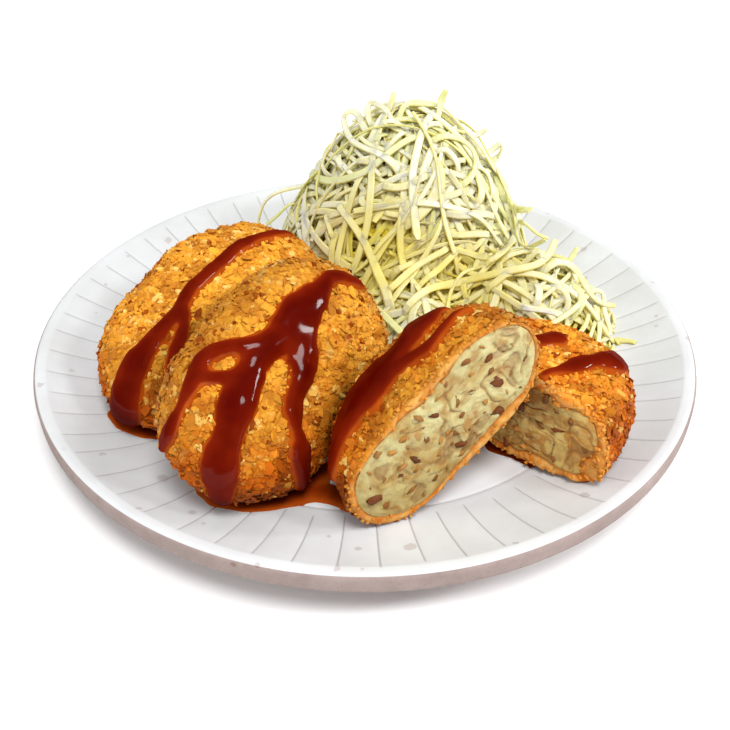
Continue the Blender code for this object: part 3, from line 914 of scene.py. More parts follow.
def crumb_colours(rng, pts, up, low, soak_and_shade=0.0, fried=0.0):
    """Colour for each crumb: golden with tan patches on top, orange with brown ones
    on the sides and below, and dark and cream crumbs among them. Over the crumbs'
    own mixed colours, the lighter top with more cream crumbs is painted light, and
    the darker sides and bottom with more dark crumbs are painted shade."""
    n = len(pts)
    patch = 0.5 + 0.5 * fbm(pts, 11.0, 5, 2)
    fine = 0.5 + 0.5 * noise3(pts, 4.4, 9)
    light = 0.5 + 0.5 * noise3(pts, 3.4, 15)
    # painted light and shade: faces turned up come out lighter and golden, the sides and the lower part darker and
    # orange
    side = np.clip(0.10 + fried + 0.75 * (1 - up) + 0.50 * (patch - 0.5) + 0.70 * low + rng.normal(0, 0.06, n), 0, 1.3)
    turn = smoothstep(0.15, 0.78, side)
    col = mix(mix(GOLD, ORANGE, turn), mix(TAN, BROWN, turn), smoothstep(0.48, 0.80, fine + rng.normal(0, 0.10, n)))
    col = mix(col, DARK, 0.60 * smoothstep(0.75, 1.25, side + 0.6 * (fine - 0.5)))
    pick = rng.random(n)
    dark = (pick < 0.04 + 0.10 * (1 - up) * smoothstep(0.3, 0.7, fine))
    col = np.where(dark[:, None], mix(BROWN, DARK, rng.random(n)), col)
    # painted highlight: cream crumbs gather on upward faces in the lit patches
    pale = pick > 0.98 - (0.04 + 0.30 * up) * smoothstep(0.50, 0.74, light) * (1 - 0.7 * low) * (1 - fried)
    col = np.where(pale[:, None], mix(GOLD, CREAM, rng.random(n) ** 0.7), col)
    # the bottom is browner, and darker where it meets the plate: soaked with sauce and painted contact shade
    col = mix(col, SOAKED_AND_SHADED, soak_and_shade * (1 - smoothstep(11.0, 19.0, pts[:, 2])))
    col = mix(col, CONTACT_SHADE, soak_and_shade * (1 - smoothstep(11.5, 14.5, pts[:, 2])))
    return col * rng.uniform(0.90, 1.10, n)[:, None] * np.array([1.0, 0.95, 0.90])


def flakes(rng, centres, normals, length, width, thick, colour, sides=6, tilt=0.35):
    """Irregular flat crumbs: prisms with an uneven outline, bent a little, lying
    roughly along the surface. Returns verts, tris and vertex colours."""
    n = len(centres)
    # tilt each normal, then turn the outline round it
    nrm = normals + rng.normal(0, tilt, (n, 3))
    nrm /= np.linalg.norm(nrm, axis=1)[:, None]
    ref = rng.normal(size=(n, 3))
    u = np.cross(nrm, ref)
    u /= np.maximum(np.linalg.norm(u, axis=1), 1e-9)[:, None]
    v = np.cross(nrm, u)
    ang = 2 * math.pi * (np.arange(sides)[None, :] + rng.uniform(-0.3, 0.3, (n, sides))) / sides
    rad = rng.uniform(0.62, 1.0, (n, sides))
    x = np.cos(ang) * rad * length[:, None] * 0.5
    y = np.sin(ang) * rad * width[:, None] * 0.5
    # bend: the ends lift or drop
    bend = rng.normal(0, 0.16, n)[:, None] / np.maximum(length, 1.0)[:, None]
    zt = bend * x * x + rng.uniform(-0.12, 0.12, (n, sides)) * thick[:, None]
    top_s = rng.uniform(0.6, 0.95, (n, 1))
    half = 0.5 * thick[:, None]
    low = centres[:, None, :] + u[:, None, :] * x[..., None] + v[:, None, :] * y[..., None] \
        + nrm[:, None, :] * (zt - half)[..., None]
    top = centres[:, None, :] + u[:, None, :] * (x * top_s)[..., None] + v[:, None, :] * (y * top_s)[..., None] \
        + nrm[:, None, :] * (zt + half * rng.uniform(0.6, 1.3, (n, sides)))[..., None]
    verts = np.concatenate([low, top], 1)                 # n, 2*sides, 3
    tri = []
    for i in range(1, sides - 1):
        tri.append((sides, sides + i, sides + i + 1))      # top
        tri.append((0, i + 1, i))                          # bottom
    for i in range(sides):
        j = (i + 1) % sides
        tri.append((i, j, sides + j))
        tri.append((i, sides + j, sides + i))
    tri = np.array(tri)
    tris = (tri[None] + (np.arange(n) * 2 * sides)[:, None, None]).reshape(-1, 3)
    shade = rng.uniform(0.88, 1.10, (n, 2 * sides))
    shade[:, :sides] *= 0.86
    cols = colour[:, None, :] * shade[..., None]
    return verts.reshape(-1, 3), tris, cols.reshape(-1, 3)


def grains(rng, centres, size, colour):
    """Small uneven crumbs: jittered octahedra."""
    n = len(centres)
    base = np.array([[1, 0, 0], [-1, 0, 0], [0, 1, 0], [0, -1, 0], [0, 0, 1], [0, 0, -1]], float)
    q = rng.normal(size=(n, 4))
    q /= np.linalg.norm(q, axis=1)[:, None]
    w, x, y, z = q.T
    rot = np.stack([1 - 2 * (y * y + z * z), 2 * (x * y - z * w), 2 * (x * z + y * w),
                    2 * (x * y + z * w), 1 - 2 * (x * x + z * z), 2 * (y * z - x * w),
                    2 * (x * z - y * w), 2 * (y * z + x * w), 1 - 2 * (x * x + y * y)], 1).reshape(n, 3, 3)
    local = base[None] * rng.uniform(0.55, 1.25, (n, 6, 1)) * (size[:, None, None] * 0.5)
    verts = np.einsum("nij,nkj->nki", rot, local) + centres[:, None, :]
    tri = np.array([(0, 2, 4), (2, 1, 4), (1, 3, 4), (3, 0, 4), (2, 0, 5), (1, 2, 5), (3, 1, 5), (0, 3, 5)])
    tris = (tri[None] + (np.arange(n) * 6)[:, None, None]).reshape(-1, 3)
    cols = colour[:, None, :] * rng.uniform(0.85, 1.15, (n, 6, 1))
    return verts.reshape(-1, 3), tris, cols.reshape(-1, 3)


def scatter(rng, verts, tris, weight, count):
    """Points spread over a mesh by area times a weight for each vertex; returns
    places, normals and the triangle of each."""
    a, b, c = verts[tris[:, 0]], verts[tris[:, 1]], verts[tris[:, 2]]
    cr = np.cross(b - a, c - a)
    area = 0.5 * np.linalg.norm(cr, axis=1)
    w = area * weight[tris].mean(1)
    cum = np.cumsum(w)
    # evenly stepped along the running total, so that no place stays bare
    pick = (np.arange(count) + rng.random(count)) / count * cum[-1]
    t = np.minimum(np.searchsorted(cum, pick), len(tris) - 1)
    r1, r2 = np.sqrt(rng.random(count)), rng.random(count)
    p = a[t] * (1 - r1)[:, None] + b[t] * (r1 * (1 - r2))[:, None] + c[t] * (r1 * r2)[:, None]
    nrm = cr[t] / np.maximum(np.linalg.norm(cr[t], axis=1), 1e-12)[:, None]
    return p, nrm, t


def merge(parts):
    """Joins (verts, tris, colours) lists into one."""
    verts, tris, cols, base = [], [], [], 0
    for v, t, c in parts:
        verts.append(v)
        tris.append(t + base)
        cols.append(c)
        base += len(v)
    return np.concatenate(verts), np.concatenate(tris), np.concatenate(cols)


BAND = lin(238, 160, 66)


def cut_band(spec, p):
    """1 on the cut edge of a half's crust, where the paler inside of the crumb
    shows, falling to 0 a little way back from it."""
    if "cut" not in spec:
        return np.zeros(len(p))
    rot, centre = frame_of(spec)
    return 0.78 * smoothstep(spec["cut"] - 2.6, spec["cut"] - 0.8, ((p - centre) @ rot)[:, 0])


SINK = 0.55          # how far the ground of the crust lies below the CAD surface


def crust_relief(p, seed):
    """Height of the crust's ground: lumps of crumb with pits between."""
    f1, f2, rnd = cells(p, 3.1, seed)
    lump = (0.62 - f1) * 0.75 + (rnd - 0.5) * 0.55
    g1, g2, _ = cells(p, 1.55, seed + 9)
    return lump + (0.6 - g1) * 0.38 + 0.30 * fbm(p, 6.0, seed + 20, 2)


def build_crust(name, spec, mat, rows, cols, flake_count, grain_count, node):
    """Crust of a croquette or of a half: ground, flat crumbs and grains."""
    rng = np.random.default_rng(spec["seed"] * 7 + 1)
    rot, centre = frame_of(spec)
    a = spec["a"] - SINK
    key = name.replace("_crust", "")
    angle = ring_angles(cols)
    cut = spec.get("cut")
    soak_and_shade, fried = (0.85, 0.0) if cut is None else (0.30, 0.26)
    parts = []
    if cut is None:
        s = np.linspace(-math.pi / 2, math.pi / 2, rows + 1)[1:-1]
        x = a * np.sin(s)
        pts = skin(spec, x[:, None], angle[None, :], SINK)
        verts = np.vstack([pts.reshape(-1, 3), [[-a, 0, 0]], [[a, 0, 0]]])
        n = len(x)
        c = np.arange(cols)
        nx = (c + 1) % cols
        tris = np.concatenate([quads_to_tris(grid_faces(n, cols)),
                               np.stack([np.full(cols, n * cols), nx, c], 1),
                               np.stack([np.full(cols, n * cols + 1), (n - 1) * cols + c, (n - 1) * cols + nx], 1)])
        outer = len(verts)
    else:
        # the cut line and the thickness of the crust both wander a little
        rough = spec["rough"]
        circle = np.stack([np.cos(angle), np.sin(angle), np.zeros(cols)], 1)
        wander = fbm(circle * 6.0 + spec["seed"], 2.2, spec["seed"], 3) * rough
        wander += rough * 0.5 * noise3(circle * 20.0, 1.5, spec["seed"] + 3)
        s = np.linspace(-math.pi / 2, math.asin(cut / a), rows + 1)[1:]
        x = a * np.sin(s)
        # rows slide so that the last one follows the uneven edge
        slide = smoothstep(0.72, 1.0, np.linspace(0, 1, rows))
        X = x[:, None] + slide[:, None] * (wander[None, :] - 0.2)
        pts = skin(spec, X, angle[None, :], SINK)
        inner = rim_inset(spec, angle)
        ring_a = skin(spec, X[-1:, :] + 0.25, angle[None, :], SINK + 0.5)
        ring_b = skin(spec, X[-1:, :] + 0.15, angle[None, :], (0.5 * (inner + SINK))[None, :])
        ring_c = skin(spec, X[-1:, :] - 0.15, angle[None, :], inner[None, :])
        ring_d = skin(spec, X[-1:, :] - 2.4, angle[None, :], np.maximum(0.5 * inner + 0.5 * CRUST, 1.0)[None, :] + 0.1)
        back = []
        depth = np.linspace(0.12, 0.97, 9)
        for d in depth:
            ss = math.asin(cut / a) + (-math.pi / 2 - math.asin(cut / a)) * d
            back.append(skin(spec, np.array([[(spec["a"] - CRUST - 0.2) * math.sin(ss)]]), angle[None, :],
                             CRUST + 0.1))
        allp = np.concatenate([pts, ring_a, ring_b, ring_c, ring_d] + back, 0)
        n = len(allp)
        verts = np.vstack([allp.reshape(-1, 3), [[-a, 0, 0]], [[-(spec["a"] - CRUST - 0.2), 0, 0]]])
        c = np.arange(cols)
        nx = (c + 1) % cols
        tris = np.concatenate([quads_to_tris(grid_faces(n, cols)),
                               np.stack([np.full(cols, n * cols), nx, c], 1),
                               np.stack([np.full(cols, n * cols + 1), (n - 1) * cols + c, (n - 1) * cols + nx], 1)])
        outer = rows * cols
    # outward: check with the signed volume
    vol = np.einsum("ij,ij->i", verts[tris[:, 0]], np.cross(verts[tris[:, 1]], verts[tris[:, 2]])).sum()
    if vol < 0:
        tris = tris[:, [0, 2, 1]]
    nrm = vertex_normals(verts, tris)
    where = np.ones(len(verts))
    if cut is not None:
        where[(rows + 2) * cols:] = 0.0                  # the pocket stays smooth
        where[(rows - 1) * cols:(rows + 2) * cols] = 0.45
        where[-2] = 1.0
    relief = crust_relief(verts, spec["seed"]) * where
    verts = verts + nrm * relief[:, None]
    world = verts @ rot.T + centre
    wn = nrm @ rot.T
    gap = crevice(key, world) * where
    world = world - wn * (0.9 * gap)[:, None]
    up = np.clip(0.5 + 0.5 * wn[:, 2], 0, 1)
    low = 1 - smoothstep(12.0, 42.0, world[:, 2])
    # ground colour: darker in the pits, as painted shade
    ground = crumb_colours(rng, world, up, low, soak_and_shade, fried)
    ground = mix(ground, BROWN, 0.10 + 0.50 * smoothstep(0.1, -0.7, relief))
    if cut is not None:
        # the cut ring shows the pale inside of the crust
        ring = np.zeros(len(verts))
        ring[(rows - 1) * cols:rows * cols] = 0.35
        ring[rows * cols:(rows + 3) * cols] = 0.85
        pale = mix(lin(252, 196, 108), lin(226, 138, 48), 0.5 + 0.9 * noise3(world, 1.6, 88))
        ground = mix(ground, pale, ring)
        ring[:] = 0.0
        ring[(rows + 2) * cols:(rows + 4) * cols] = 0.8
        ground = mix(ground, lin(196, 106, 34), ring)
    ground = mix(ground, DARK, rim_brown_and_shade(key, world) * where)
    ground *= shade_near(key, world)[:, None]
    parts.append((world, tris, ground))

    # density: few crumbs underneath, and only on the crust itself
    weight = np.where(wn[:, 2] < -0.75, 0.25, 1.0)
    weight[world[:, 2] < 12.5] = 0.3
    weight = weight * (1 - 0.95 * gap)
    if cut is not None:
        weight[(rows + 3) * cols:-2] = 0.0
        weight[rows * cols:(rows + 3) * cols] = 0.22 * spec["ragged"]
        weight[-1] = 0.0
    vt = world
    p, q, t = scatter(rng, vt, tris, weight, flake_count)
    size = rng.random(flake_count)
    length = np.where(size < 0.38, rng.uniform(1.8, 3.0, flake_count),
                      np.where(size < 0.82, rng.uniform(2.9, 4.7, flake_count), rng.uniform(4.6, 6.4, flake_count)))
    width = length * rng.uniform(0.50, 0.88, flake_count)
    thick = rng.uniform(0.35, 0.7, flake_count)
    near_cut = np.zeros(flake_count, bool)
    if cut is not None:
        local = (p - centre) @ rot
        near_cut = local[:, 0] > cut - 1.6
        length = np.where(near_cut, np.minimum(length, spec["chip"]), length)
        width = np.where(near_cut, np.minimum(width, 0.7 * spec["chip"]), width)
    lift = rng.uniform(-0.10, 0.34, flake_count)
    p = p + q * np.where(near_cut, np.minimum(lift, 0.1), lift)[:, None]
    p[:, 2] = np.maximum(p[:, 2], 11.4)
    bare = sauce_depth(key, p, q) < 1.0               # none is wasted under the sauce
    p, q, length, width, thick, near_cut = (v[bare] for v in (p, q, length, width, thick, near_cut))
    band = cut_band(spec, p)[:, None]
    u = np.clip(0.5 + 0.5 * q[:, 2], 0, 1)
    lo = 1 - smoothstep(12.0, 42.0, p[:, 2])
    col = mix(crumb_colours(rng, p, u, lo, soak_and_shade, fried), DARK, rim_brown_and_shade(key, p))
    col = (col * (1 - band) + BAND * rng.uniform(0.82, 1.12, (len(p), 1)) * band) * shade_near(key, p)[:, None]
    m = len(p)
    i1, i2 = int(m * 0.42), int(m * 0.90)
    # the facets of the scattered list run along the surface, so it is shuffled
    order = rng.permutation(m)
    p, q, length, width, thick, col = (v[order] for v in (p, q, length, width, thick, col))
    parts.append(flakes(rng, p[:i1], q[:i1], length[:i1], width[:i1], thick[:i1], col[:i1], 6, 0.20))
    parts.append(flakes(rng, p[i1:i2], q[i1:i2], length[i1:i2], width[i1:i2], thick[i1:i2], col[i1:i2], 7, 0.26))
    parts.append(flakes(rng, p[i2:], q[i2:], length[i2:] * 0.8, width[i2:] * 0.7, thick[i2:], col[i2:], 5, 0.75))
    p, q, t = scatter(rng, vt, tris, weight, grain_count)
    size = rng.uniform(0.7, 1.7, grain_count)
    p = p + q * rng.uniform(0.2, 0.65, grain_count)[:, None]
    p[:, 2] = np.maximum(p[:, 2], 11.2)
    bare = sauce_depth(key, p, q) < 0.6
    p, q, size = p[bare], q[bare], size[bare]
    u = np.clip(0.5 + 0.5 * q[:, 2], 0, 1)
    lo = 1 - smoothstep(12.0, 42.0, p[:, 2])
    band = cut_band(spec, p)[:, None]
    col = mix(crumb_colours(rng, p, u, lo, soak_and_shade, fried), DARK, rim_brown_and_shade(key, p))
    col = (col * (1 - band) + BAND * rng.uniform(0.82, 1.12, (len(p), 1)) * band) * shade_near(key, p)[:, None]
    parts.append(grains(rng, p, size, col))
    v, f, c = merge(parts)
    ob = make_object(name, v, f, None, mat, c, smooth=False)
    # the ground is smooth, the crumbs keep their edges
    flat = np.zeros(len(f), bool)
    flat[:len(parts[0][1])] = True
    ob.data.polygons.foreach_set("use_smooth", flat)
    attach(ob, "root")
    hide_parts(node)
    return ob


# ---------------------------------------------------------------- filling
def rim_inset(spec, angle):
    """How far in from the outside the filling begins, round the cut."""
    marks = np.array(spec["rim"], float)
    deg = np.degrees(angle) % 360.0
    base = np.interp(deg, marks[:, 0], marks[:, 1], period=360.0)
    circle = np.stack([np.cos(angle), np.sin(angle), np.zeros(len(angle))], 1)
    return np.maximum(base + 0.38 * fbm(circle * 9.0 + spec["seed"], 1.3, spec["seed"] + 5, 3), 1.05)


def build_filling(name, spec, mat, node, pale, deep, tone, rings=86, cols=250):
    """Mashed potato with bits of meat and onion: the pocket's shape, closed by a
    torn, lumpy face at the cut."""
    rng = np.random.default_rng(spec["seed"] + 100)
    rot, centre = frame_of(spec)
    angle = ring_angles(cols)
    cut = spec["cut"]
    inset = CRUST - 0.1
    a = spec["a"] - inset
    # side: from the far end of the pocket to just before the cut
    back_rows = 12
    s = np.linspace(-math.pi / 2, math.asin((cut - 2.6) / a), back_rows + 1)[1:]
    side = skin(spec, (a * np.sin(s))[:, None], angle[None, :], inset)
    # face: rings from the rim to the middle, pushed in and out by the relief
    inner = rim_inset(spec, angle) - 0.12
    rim = skin(spec, np.full((1, cols), cut), angle[None, :], inner[None, :])[0]
    f = 1 - (np.arange(rings) / rings) ** 1.15
    face = rim[None] * np.array([0.0, 1.0, 1.0]) * f[:, None, None]
    face[..., 0] = cut
    flat = face.reshape(-1, 3)
    radial = np.repeat(f, cols)

    q = flat.copy()
    warp = np.stack([noise3(q, 7.0, 61), noise3(q, 7.0, 62), noise3(q, 7.0, 63)], 1)
    w = q + 2.6 * warp
    big = fbm(w, 9.0, spec["seed"] + 21, 3)
    mid = fbm(w, 3.6, spec["seed"] + 22, 3)
    fine = fbm(q, 1.3, 23, 2)
    # short creases between lumps, in some places only
    line = np.abs(noise3(w * np.array([1.0, 1.0, 1.25]), 6.2, spec["seed"] + 31))
    where = smoothstep(0.02, 0.40, noise3(q, 8.5, 77))
    crease = np.exp(-(line / 0.075) ** 2) * where
    line2 = np.abs(noise3(w, 3.1, spec["seed"] + 35))
    crease2 = np.exp(-(line2 / 0.10) ** 2) * smoothstep(0.10, 0.5, noise3(q, 5.0, 79))
    hollow = smoothstep(0.40, 0.60, noise3(w, 4.6, 91))
    g1, _, grain = cells(q + 0.5 * warp, 2.3, spec["seed"] + 4)
    h1, _, _ = cells(q, 1.15, spec["seed"] + 6)
    relief = 0.62 * big + 0.40 * mid + 0.16 * fine + 0.26 * (0.55 - g1) + 0.13 * (0.5 - h1) \
        - 0.60 * crease - 0.35 * crease2 - 0.5 * hollow
    edge = smoothstep(1.0, 0.93, radial)
    face_x = cut + relief * (0.30 + 0.70 * edge) - 0.15 + 0.45 * edge
    flat = np.stack([face_x, flat[:, 1], flat[:, 2]], 1)
    pts = np.concatenate([side, flat.reshape(rings, cols, 3)], 0)
    n = len(pts)
    verts = np.vstack([pts.reshape(-1, 3), [[-a, 0, 0]], [[cut + 0.3, 0, 0]]])
    c = np.arange(cols)
    nx = (c + 1) % cols
    tris = np.concatenate([quads_to_tris(grid_faces(n, cols)),
                           np.stack([np.full(cols, n * cols), nx, c], 1),
                           np.stack([np.full(cols, n * cols + 1), (n - 1) * cols + c, (n - 1) * cols + nx], 1)])
    vol = np.einsum("ij,ij->i", verts[tris[:, 0]], np.cross(verts[tris[:, 1]], verts[tris[:, 2]])).sum()
    if vol < 0:
        tris = tris[:, [0, 2, 1]]
    world = verts @ rot.T + centre
    colour = np.tile(pale, (len(verts), 1))
    base = back_rows * cols
    # strokes of colour: pale mash and warmer patches, with browner creases and hollows and a deeper, darker lower part
    # as painted shade
    patch = fbm(w * np.array([1.0, 1.0, 0.8]), 5.2, 41, 3)
    patch2 = fbm(w * np.array([1.0, 0.8, 1.0]), 2.6, 43, 2)
    low = 1 - smoothstep(15.0, 52.0, world[base:base + len(q), 2])
    col = mix(pale, deep, np.clip(0.10 + 0.52 * low + 0.70 * smoothstep(-0.02, 0.22, patch), 0, 1))
    col = mix(col, lin(240, 226, 168), 0.80 * smoothstep(0.05, 0.20, -patch) * (1 - 0.45 * low))
    col = mix(col, lin(200, 148, 84), 0.75 * smoothstep(0.12, 0.26, patch2) * smoothstep(-0.15, 0.1, patch))
    col = mix(col, lin(232, 214, 156), smoothstep(0.62, 0.80, grain) * 0.55)
    col = mix(col, lin(206, 170, 112), smoothstep(0.22, 0.10, grain) * 0.45)
    col = mix(col, lin(178, 124, 66), 0.70 * crease)
    col = mix(col, lin(196, 146, 86), 0.55 * crease2)
    col = mix(col, lin(180, 132, 84), 0.55 * hollow)
    # painted shade: the face is darkened towards the bottom
    col = col * mix(np.array([0.93, 0.93, 0.93]), np.array([0.78, 0.71, 0.57]), low)
    # painted shadow of the front half on the back half's cut face
    if name.startswith("half_back"):
        beside = distance_to(SPECS["half_front"], world[base:base + len(q)])
        col = col * mix(np.array([0.34, 0.24, 0.15]), np.ones(3), smoothstep(3.0, 17.0, beside))
    colour[base:base + len(q)] = col * tone
    colour[:base] = deep * tone
    parts = [(world, tris, colour)]

    # bits of browned meat and onion set into the face
    kinds = ((8, 4.2, 7.2, lin(130, 74, 34)), (11, 2.8, 5.6, lin(162, 108, 56)),
             (13, 2.6, 5.6, lin(190, 140, 80)), (14, 2.0, 4.2, lin(206, 150, 78)), (8, 1.2, 2.2, lin(150, 94, 42)))
    local_face = verts[base:base + len(q)]
    taken = []
    for count, small, big_, tone_ in kinds:
        count = int(round(count * spec["bits"]))
        pick = rng.integers(0, len(q), count * 24)
        # even by area: the rings crowd towards the middle
        keep = rng.random(len(pick)) < radial[pick] * (radial[pick] < 0.90)
        pick = pick[keep]
        # each bit takes the emptiest of a few places
        chosen = []
        while len(chosen) < count and len(pick) > 6:
            some = pick[:6]
            gap = [min([np.linalg.norm(local_face[k] - local_face[j]) for j in taken] or [1.0]) for k in some]
            best = int(some[int(np.argmax(gap))])
            chosen.append(best)
            taken.append(best)
            pick = pick[6:]
        pick = np.array(chosen)
        m = len(pick)
        length = rng.uniform(small, big_, m)
        width = length * rng.uniform(0.42, 0.75, m)
        thick = rng.uniform(0.7, 1.2, m)
        place = local_face[pick] + np.stack([rng.uniform(-0.42, -0.12, m), np.zeros(m), np.zeros(m)], 1)
        centres = place @ rot.T + centre
        normals = np.tile(rot[:, 0], (m, 1))
        # the bits beside the front half get the same painted shadow
        if name.startswith("half_back"):
            dim = smoothstep(3.0, 17.0, distance_to(SPECS["half_front"], centres))[:, None] * 0.7 + 0.3
        else:
            dim = np.ones((m, 1))
        cc = tone_[None] * rng.uniform(0.80, 1.15, (m, 1)) * tone * np.array([0.95, 0.84, 0.70]) * dim
        parts.append(flakes(rng, centres, normals, length, width, thick, cc, 8, 0.14))
    v, t_, c_ = merge(parts)
    ob = make_object(name, v, t_, None, mat, c_, smooth=True)
    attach(ob, "root")
    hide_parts(node)
    return ob


# ---------------------------------------------------------------- cabbage
LEAF_PALE = lin(249, 248, 218)
LEAF_CREAM = lin(247, 242, 194)
LEAF_GREEN = lin(240, 244, 184)
LEAF_YELLOW = lin(249, 224, 66)
LEAF_DEEP = lin(238, 200, 28)
LEAF_EDGE_SHADE = lin(216, 190, 56)


def soft_top(x, y):
    """Height of the heap: its mounds with soft valleys between them. Outside a
    mound it goes on falling, so that its slope has no step."""
    x, y = np.asarray(x, float), np.asarray(y, float)
    hs = []
    for mx, my, mr, mh, fullness in MOUNDS:
        d2 = ((x - mx) ** 2 + (y - my) ** 2) / (mr * mr)
        inner = np.clip(1.0 - d2, 0.0, 1.0)
        hs.append(mh * np.where(d2 < 1.0, inner ** fullness, -0.9 * (d2 - 1.0)))
    hs = np.array(hs)
    k = 3.0
    m = hs.max(0)
    return WELL_Z + m + np.log(np.exp((hs - m) / k).sum(0)) * k - 1.2


def heap_gradient(x, y):
    e = 0.4
    return (soft_top(x + e, y) - soft_top(x - e, y)) / (2 * e), (soft_top(x, y + e) - soft_top(x, y - e)) / (2 * e)


def ribbon(path, width, thick, twist, colour, up):
    """Flat strip along a path (n, 3) lying across the given upward directions and
    turned by an angle at each point; its edges are thinner and painted a deeper
    colour, as painted shade. Returns verts, tris and colours."""
    n = len(path)
    tang = np.gradient(path, axis=0)
    tang /= np.maximum(np.linalg.norm(tang, axis=1), 1e-9)[:, None]
    side = np.cross(tang, up)
    size = np.linalg.norm(side, axis=1)
    side /= np.maximum(size, 1e-9)[:, None]
    for i in range(1, n):
        if size[i] < 0.15 or side[i] @ side[i - 1] < 0.2:
            s = side[i - 1] - tang[i] * (side[i - 1] @ tang[i])
            side[i] = s / max(np.linalg.norm(s), 1e-9)
    top = np.cross(side, tang)
    ca, sa = np.cos(twist)[:, None], np.sin(twist)[:, None]
    u = side * ca + top * sa
    v = np.cross(u, tang)
    w = (0.5 * width)[:, None]
    h = (0.5 * thick)[:, None]
    shape = ((1.0, 0.0), (0.70, 1.0), (-0.70, 1.0), (-1.0, 0.0), (-0.70, -1.0), (0.70, -1.0))
    ring = np.stack([path + u * w * a + v * h * b for a, b in shape], 1)
    verts = ring.reshape(-1, 3)
    tris = quads_to_tris(grid_faces(n, 6))
    caps = np.array([(0, 1, 2), (0, 2, 3), (0, 3, 4), (0, 4, 5)])
    tris = np.concatenate([tris, caps, caps[:, ::-1] + 6 * (n - 1)])
    vol = np.einsum("ij,ij->i", verts[tris[:, 0]], np.cross(verts[tris[:, 1]], verts[tris[:, 2]])).sum()
    if vol < 0:
        tris = tris[:, [0, 2, 1]]
    edge = mix(colour, LEAF_EDGE_SHADE, 0.78)
    cols = np.stack([edge, colour, colour, edge, colour, colour], 1).reshape(-1, 3)
    return verts, tris, cols


def smooth_path(points, step):
    """Catmull-Rom curve through points, read at about one step."""
    p = np.asarray(points, float)
    p = np.vstack([2 * p[0] - p[1], p, 2 * p[-1] - p[-2]])
    out = []
    for i in range(1, len(p) - 2):
        p0, p1, p2, p3 = p[i - 1], p[i], p[i + 1], p[i + 2]
        n = max(2, int(np.linalg.norm(p2 - p1) / step) + 1)
        t = np.linspace(0, 1, n, endpoint=False)[:, None]
        out.append(0.5 * ((2 * p1) + (-p0 + p2) * t + (2 * p0 - 5 * p1 + 4 * p2 - p3) * t ** 2
                          + (-p0 + 3 * p1 - 3 * p2 + p3) * t ** 3))
    out.append(p[-2][None])
    return np.vstack(out)


def blocked(p, margin):
    """Whether points lie in a croquette."""
    bad = np.zeros(len(p), bool)
    for spec in SPECS.values():
        bad |= inside_value(spec, p, margin) < 1.0
    return bad


def surface_frame(x, y):
    """Outward unit normal of the heap's surface over (x, y)."""
    gx, gy = heap_gradient(x, y)
    n = np.stack([-gx, -gy, np.ones(np.shape(gx))], -1)
    return n / np.linalg.norm(n, axis=-1)[..., None]


def to_surface(p, off, passes=3):
    """Moves points along the surface normal until they lie at the given height
    over it."""
    for _ in range(passes):
        n = surface_frame(p[:, 0], p[:, 1])
        miss = (p[:, 2] - soft_top(p[:, 0], p[:, 1])) * n[:, 2] - off
        p = p - n * np.clip(miss, -4.0, 4.0)[:, None]
    return p


def walks(rng, count, depth_lo, depth_hi, length_lo, length_hi, bend, flare, step=2.5):
    """Shreds laid over the heap in all directions, each at its own depth below
    the surface, wandering sideways and rising and dipping over its neighbours."""
    weights = np.array([m[2] * m[2] * 0.6 + m[2] * m[3] for m in MOUNDS])
    which = rng.choice(3, count, p=weights / weights.sum())
    mound = np.array(MOUNDS)[which]
    # more starts on the steep sides, where there is more surface
    rr = rng.random(count) ** 0.36 * mound[:, 2] * 0.99
    aa = rng.uniform(0, 2 * math.pi, count)
    p = np.stack([mound[:, 0] + rr * np.cos(aa), mound[:, 1] + rr * np.sin(aa), np.zeros(count)], 1)
    depth = rng.uniform(depth_lo, depth_hi, count)
    p[:, 2] = soft_top(p[:, 0], p[:, 1]) - depth
    d = rng.normal(size=(count, 3))
    turn = rng.normal(0, bend, count)
    length = rng.uniform(length_lo, length_hi, count)
    steps = int(length_hi / step) + 1
    phase = rng.uniform(0, 2 * math.pi, (2, count))
    wave = rng.uniform(16.0, 34.0, (2, count))
    amp = rng.uniform(0.3, 1.2, count) * (0.45 if depth_lo < 0 else 1.0)
    lift = np.where(rng.random(count) < flare, rng.uniform(2.0, 5.0, count), rng.uniform(0.0, 1.2, count))
    reach = rng.uniform(7.0, 18.0, count)
    path = []
    for i in range(steps):
        s = i * step
        off = -depth + amp * (np.sin(phase[0] + s * 2 * math.pi / wave[0]) + 0.5 * np.sin(phase[1] + s * 2 * math.pi / wave[1]))
        off = off + lift * smoothstep(0.0, 1.0, (s - (length - reach)) / reach) ** 1.5
        # ends tuck in under their neighbours
        off = off - 3.2 * (1 - smoothstep(0.0, 9.0, s)) - np.where(lift > 2.0, 0.0, 3.2) * smoothstep(length - 9.0, length, s)
        p = to_surface(p, off)
        ground = rim_height(np.hypot(p[:, 0], p[:, 1])) + 0.8
        p[:, 2] = np.maximum(p[:, 2], ground)
        path.append(p.copy())
        turn = 0.88 * turn + rng.normal(0, bend * 0.5, count)
        kink = np.where(rng.random(count) < 0.014, rng.normal(0, 0.6, count), 0.0)
        n = surface_frame(p[:, 0], p[:, 1])
        d = d - n * (d * n).sum(1)[:, None]
        d /= np.maximum(np.linalg.norm(d, axis=1), 1e-9)[:, None]
        ang = (turn * step + kink)[:, None]
        d = d * np.cos(ang) + np.cross(n, d) * np.sin(ang)
        p = p + d * step
    path = np.array(path)
    return [(path[:max(5, int(length[k] / step)), k], depth[k]) for k in range(count)]


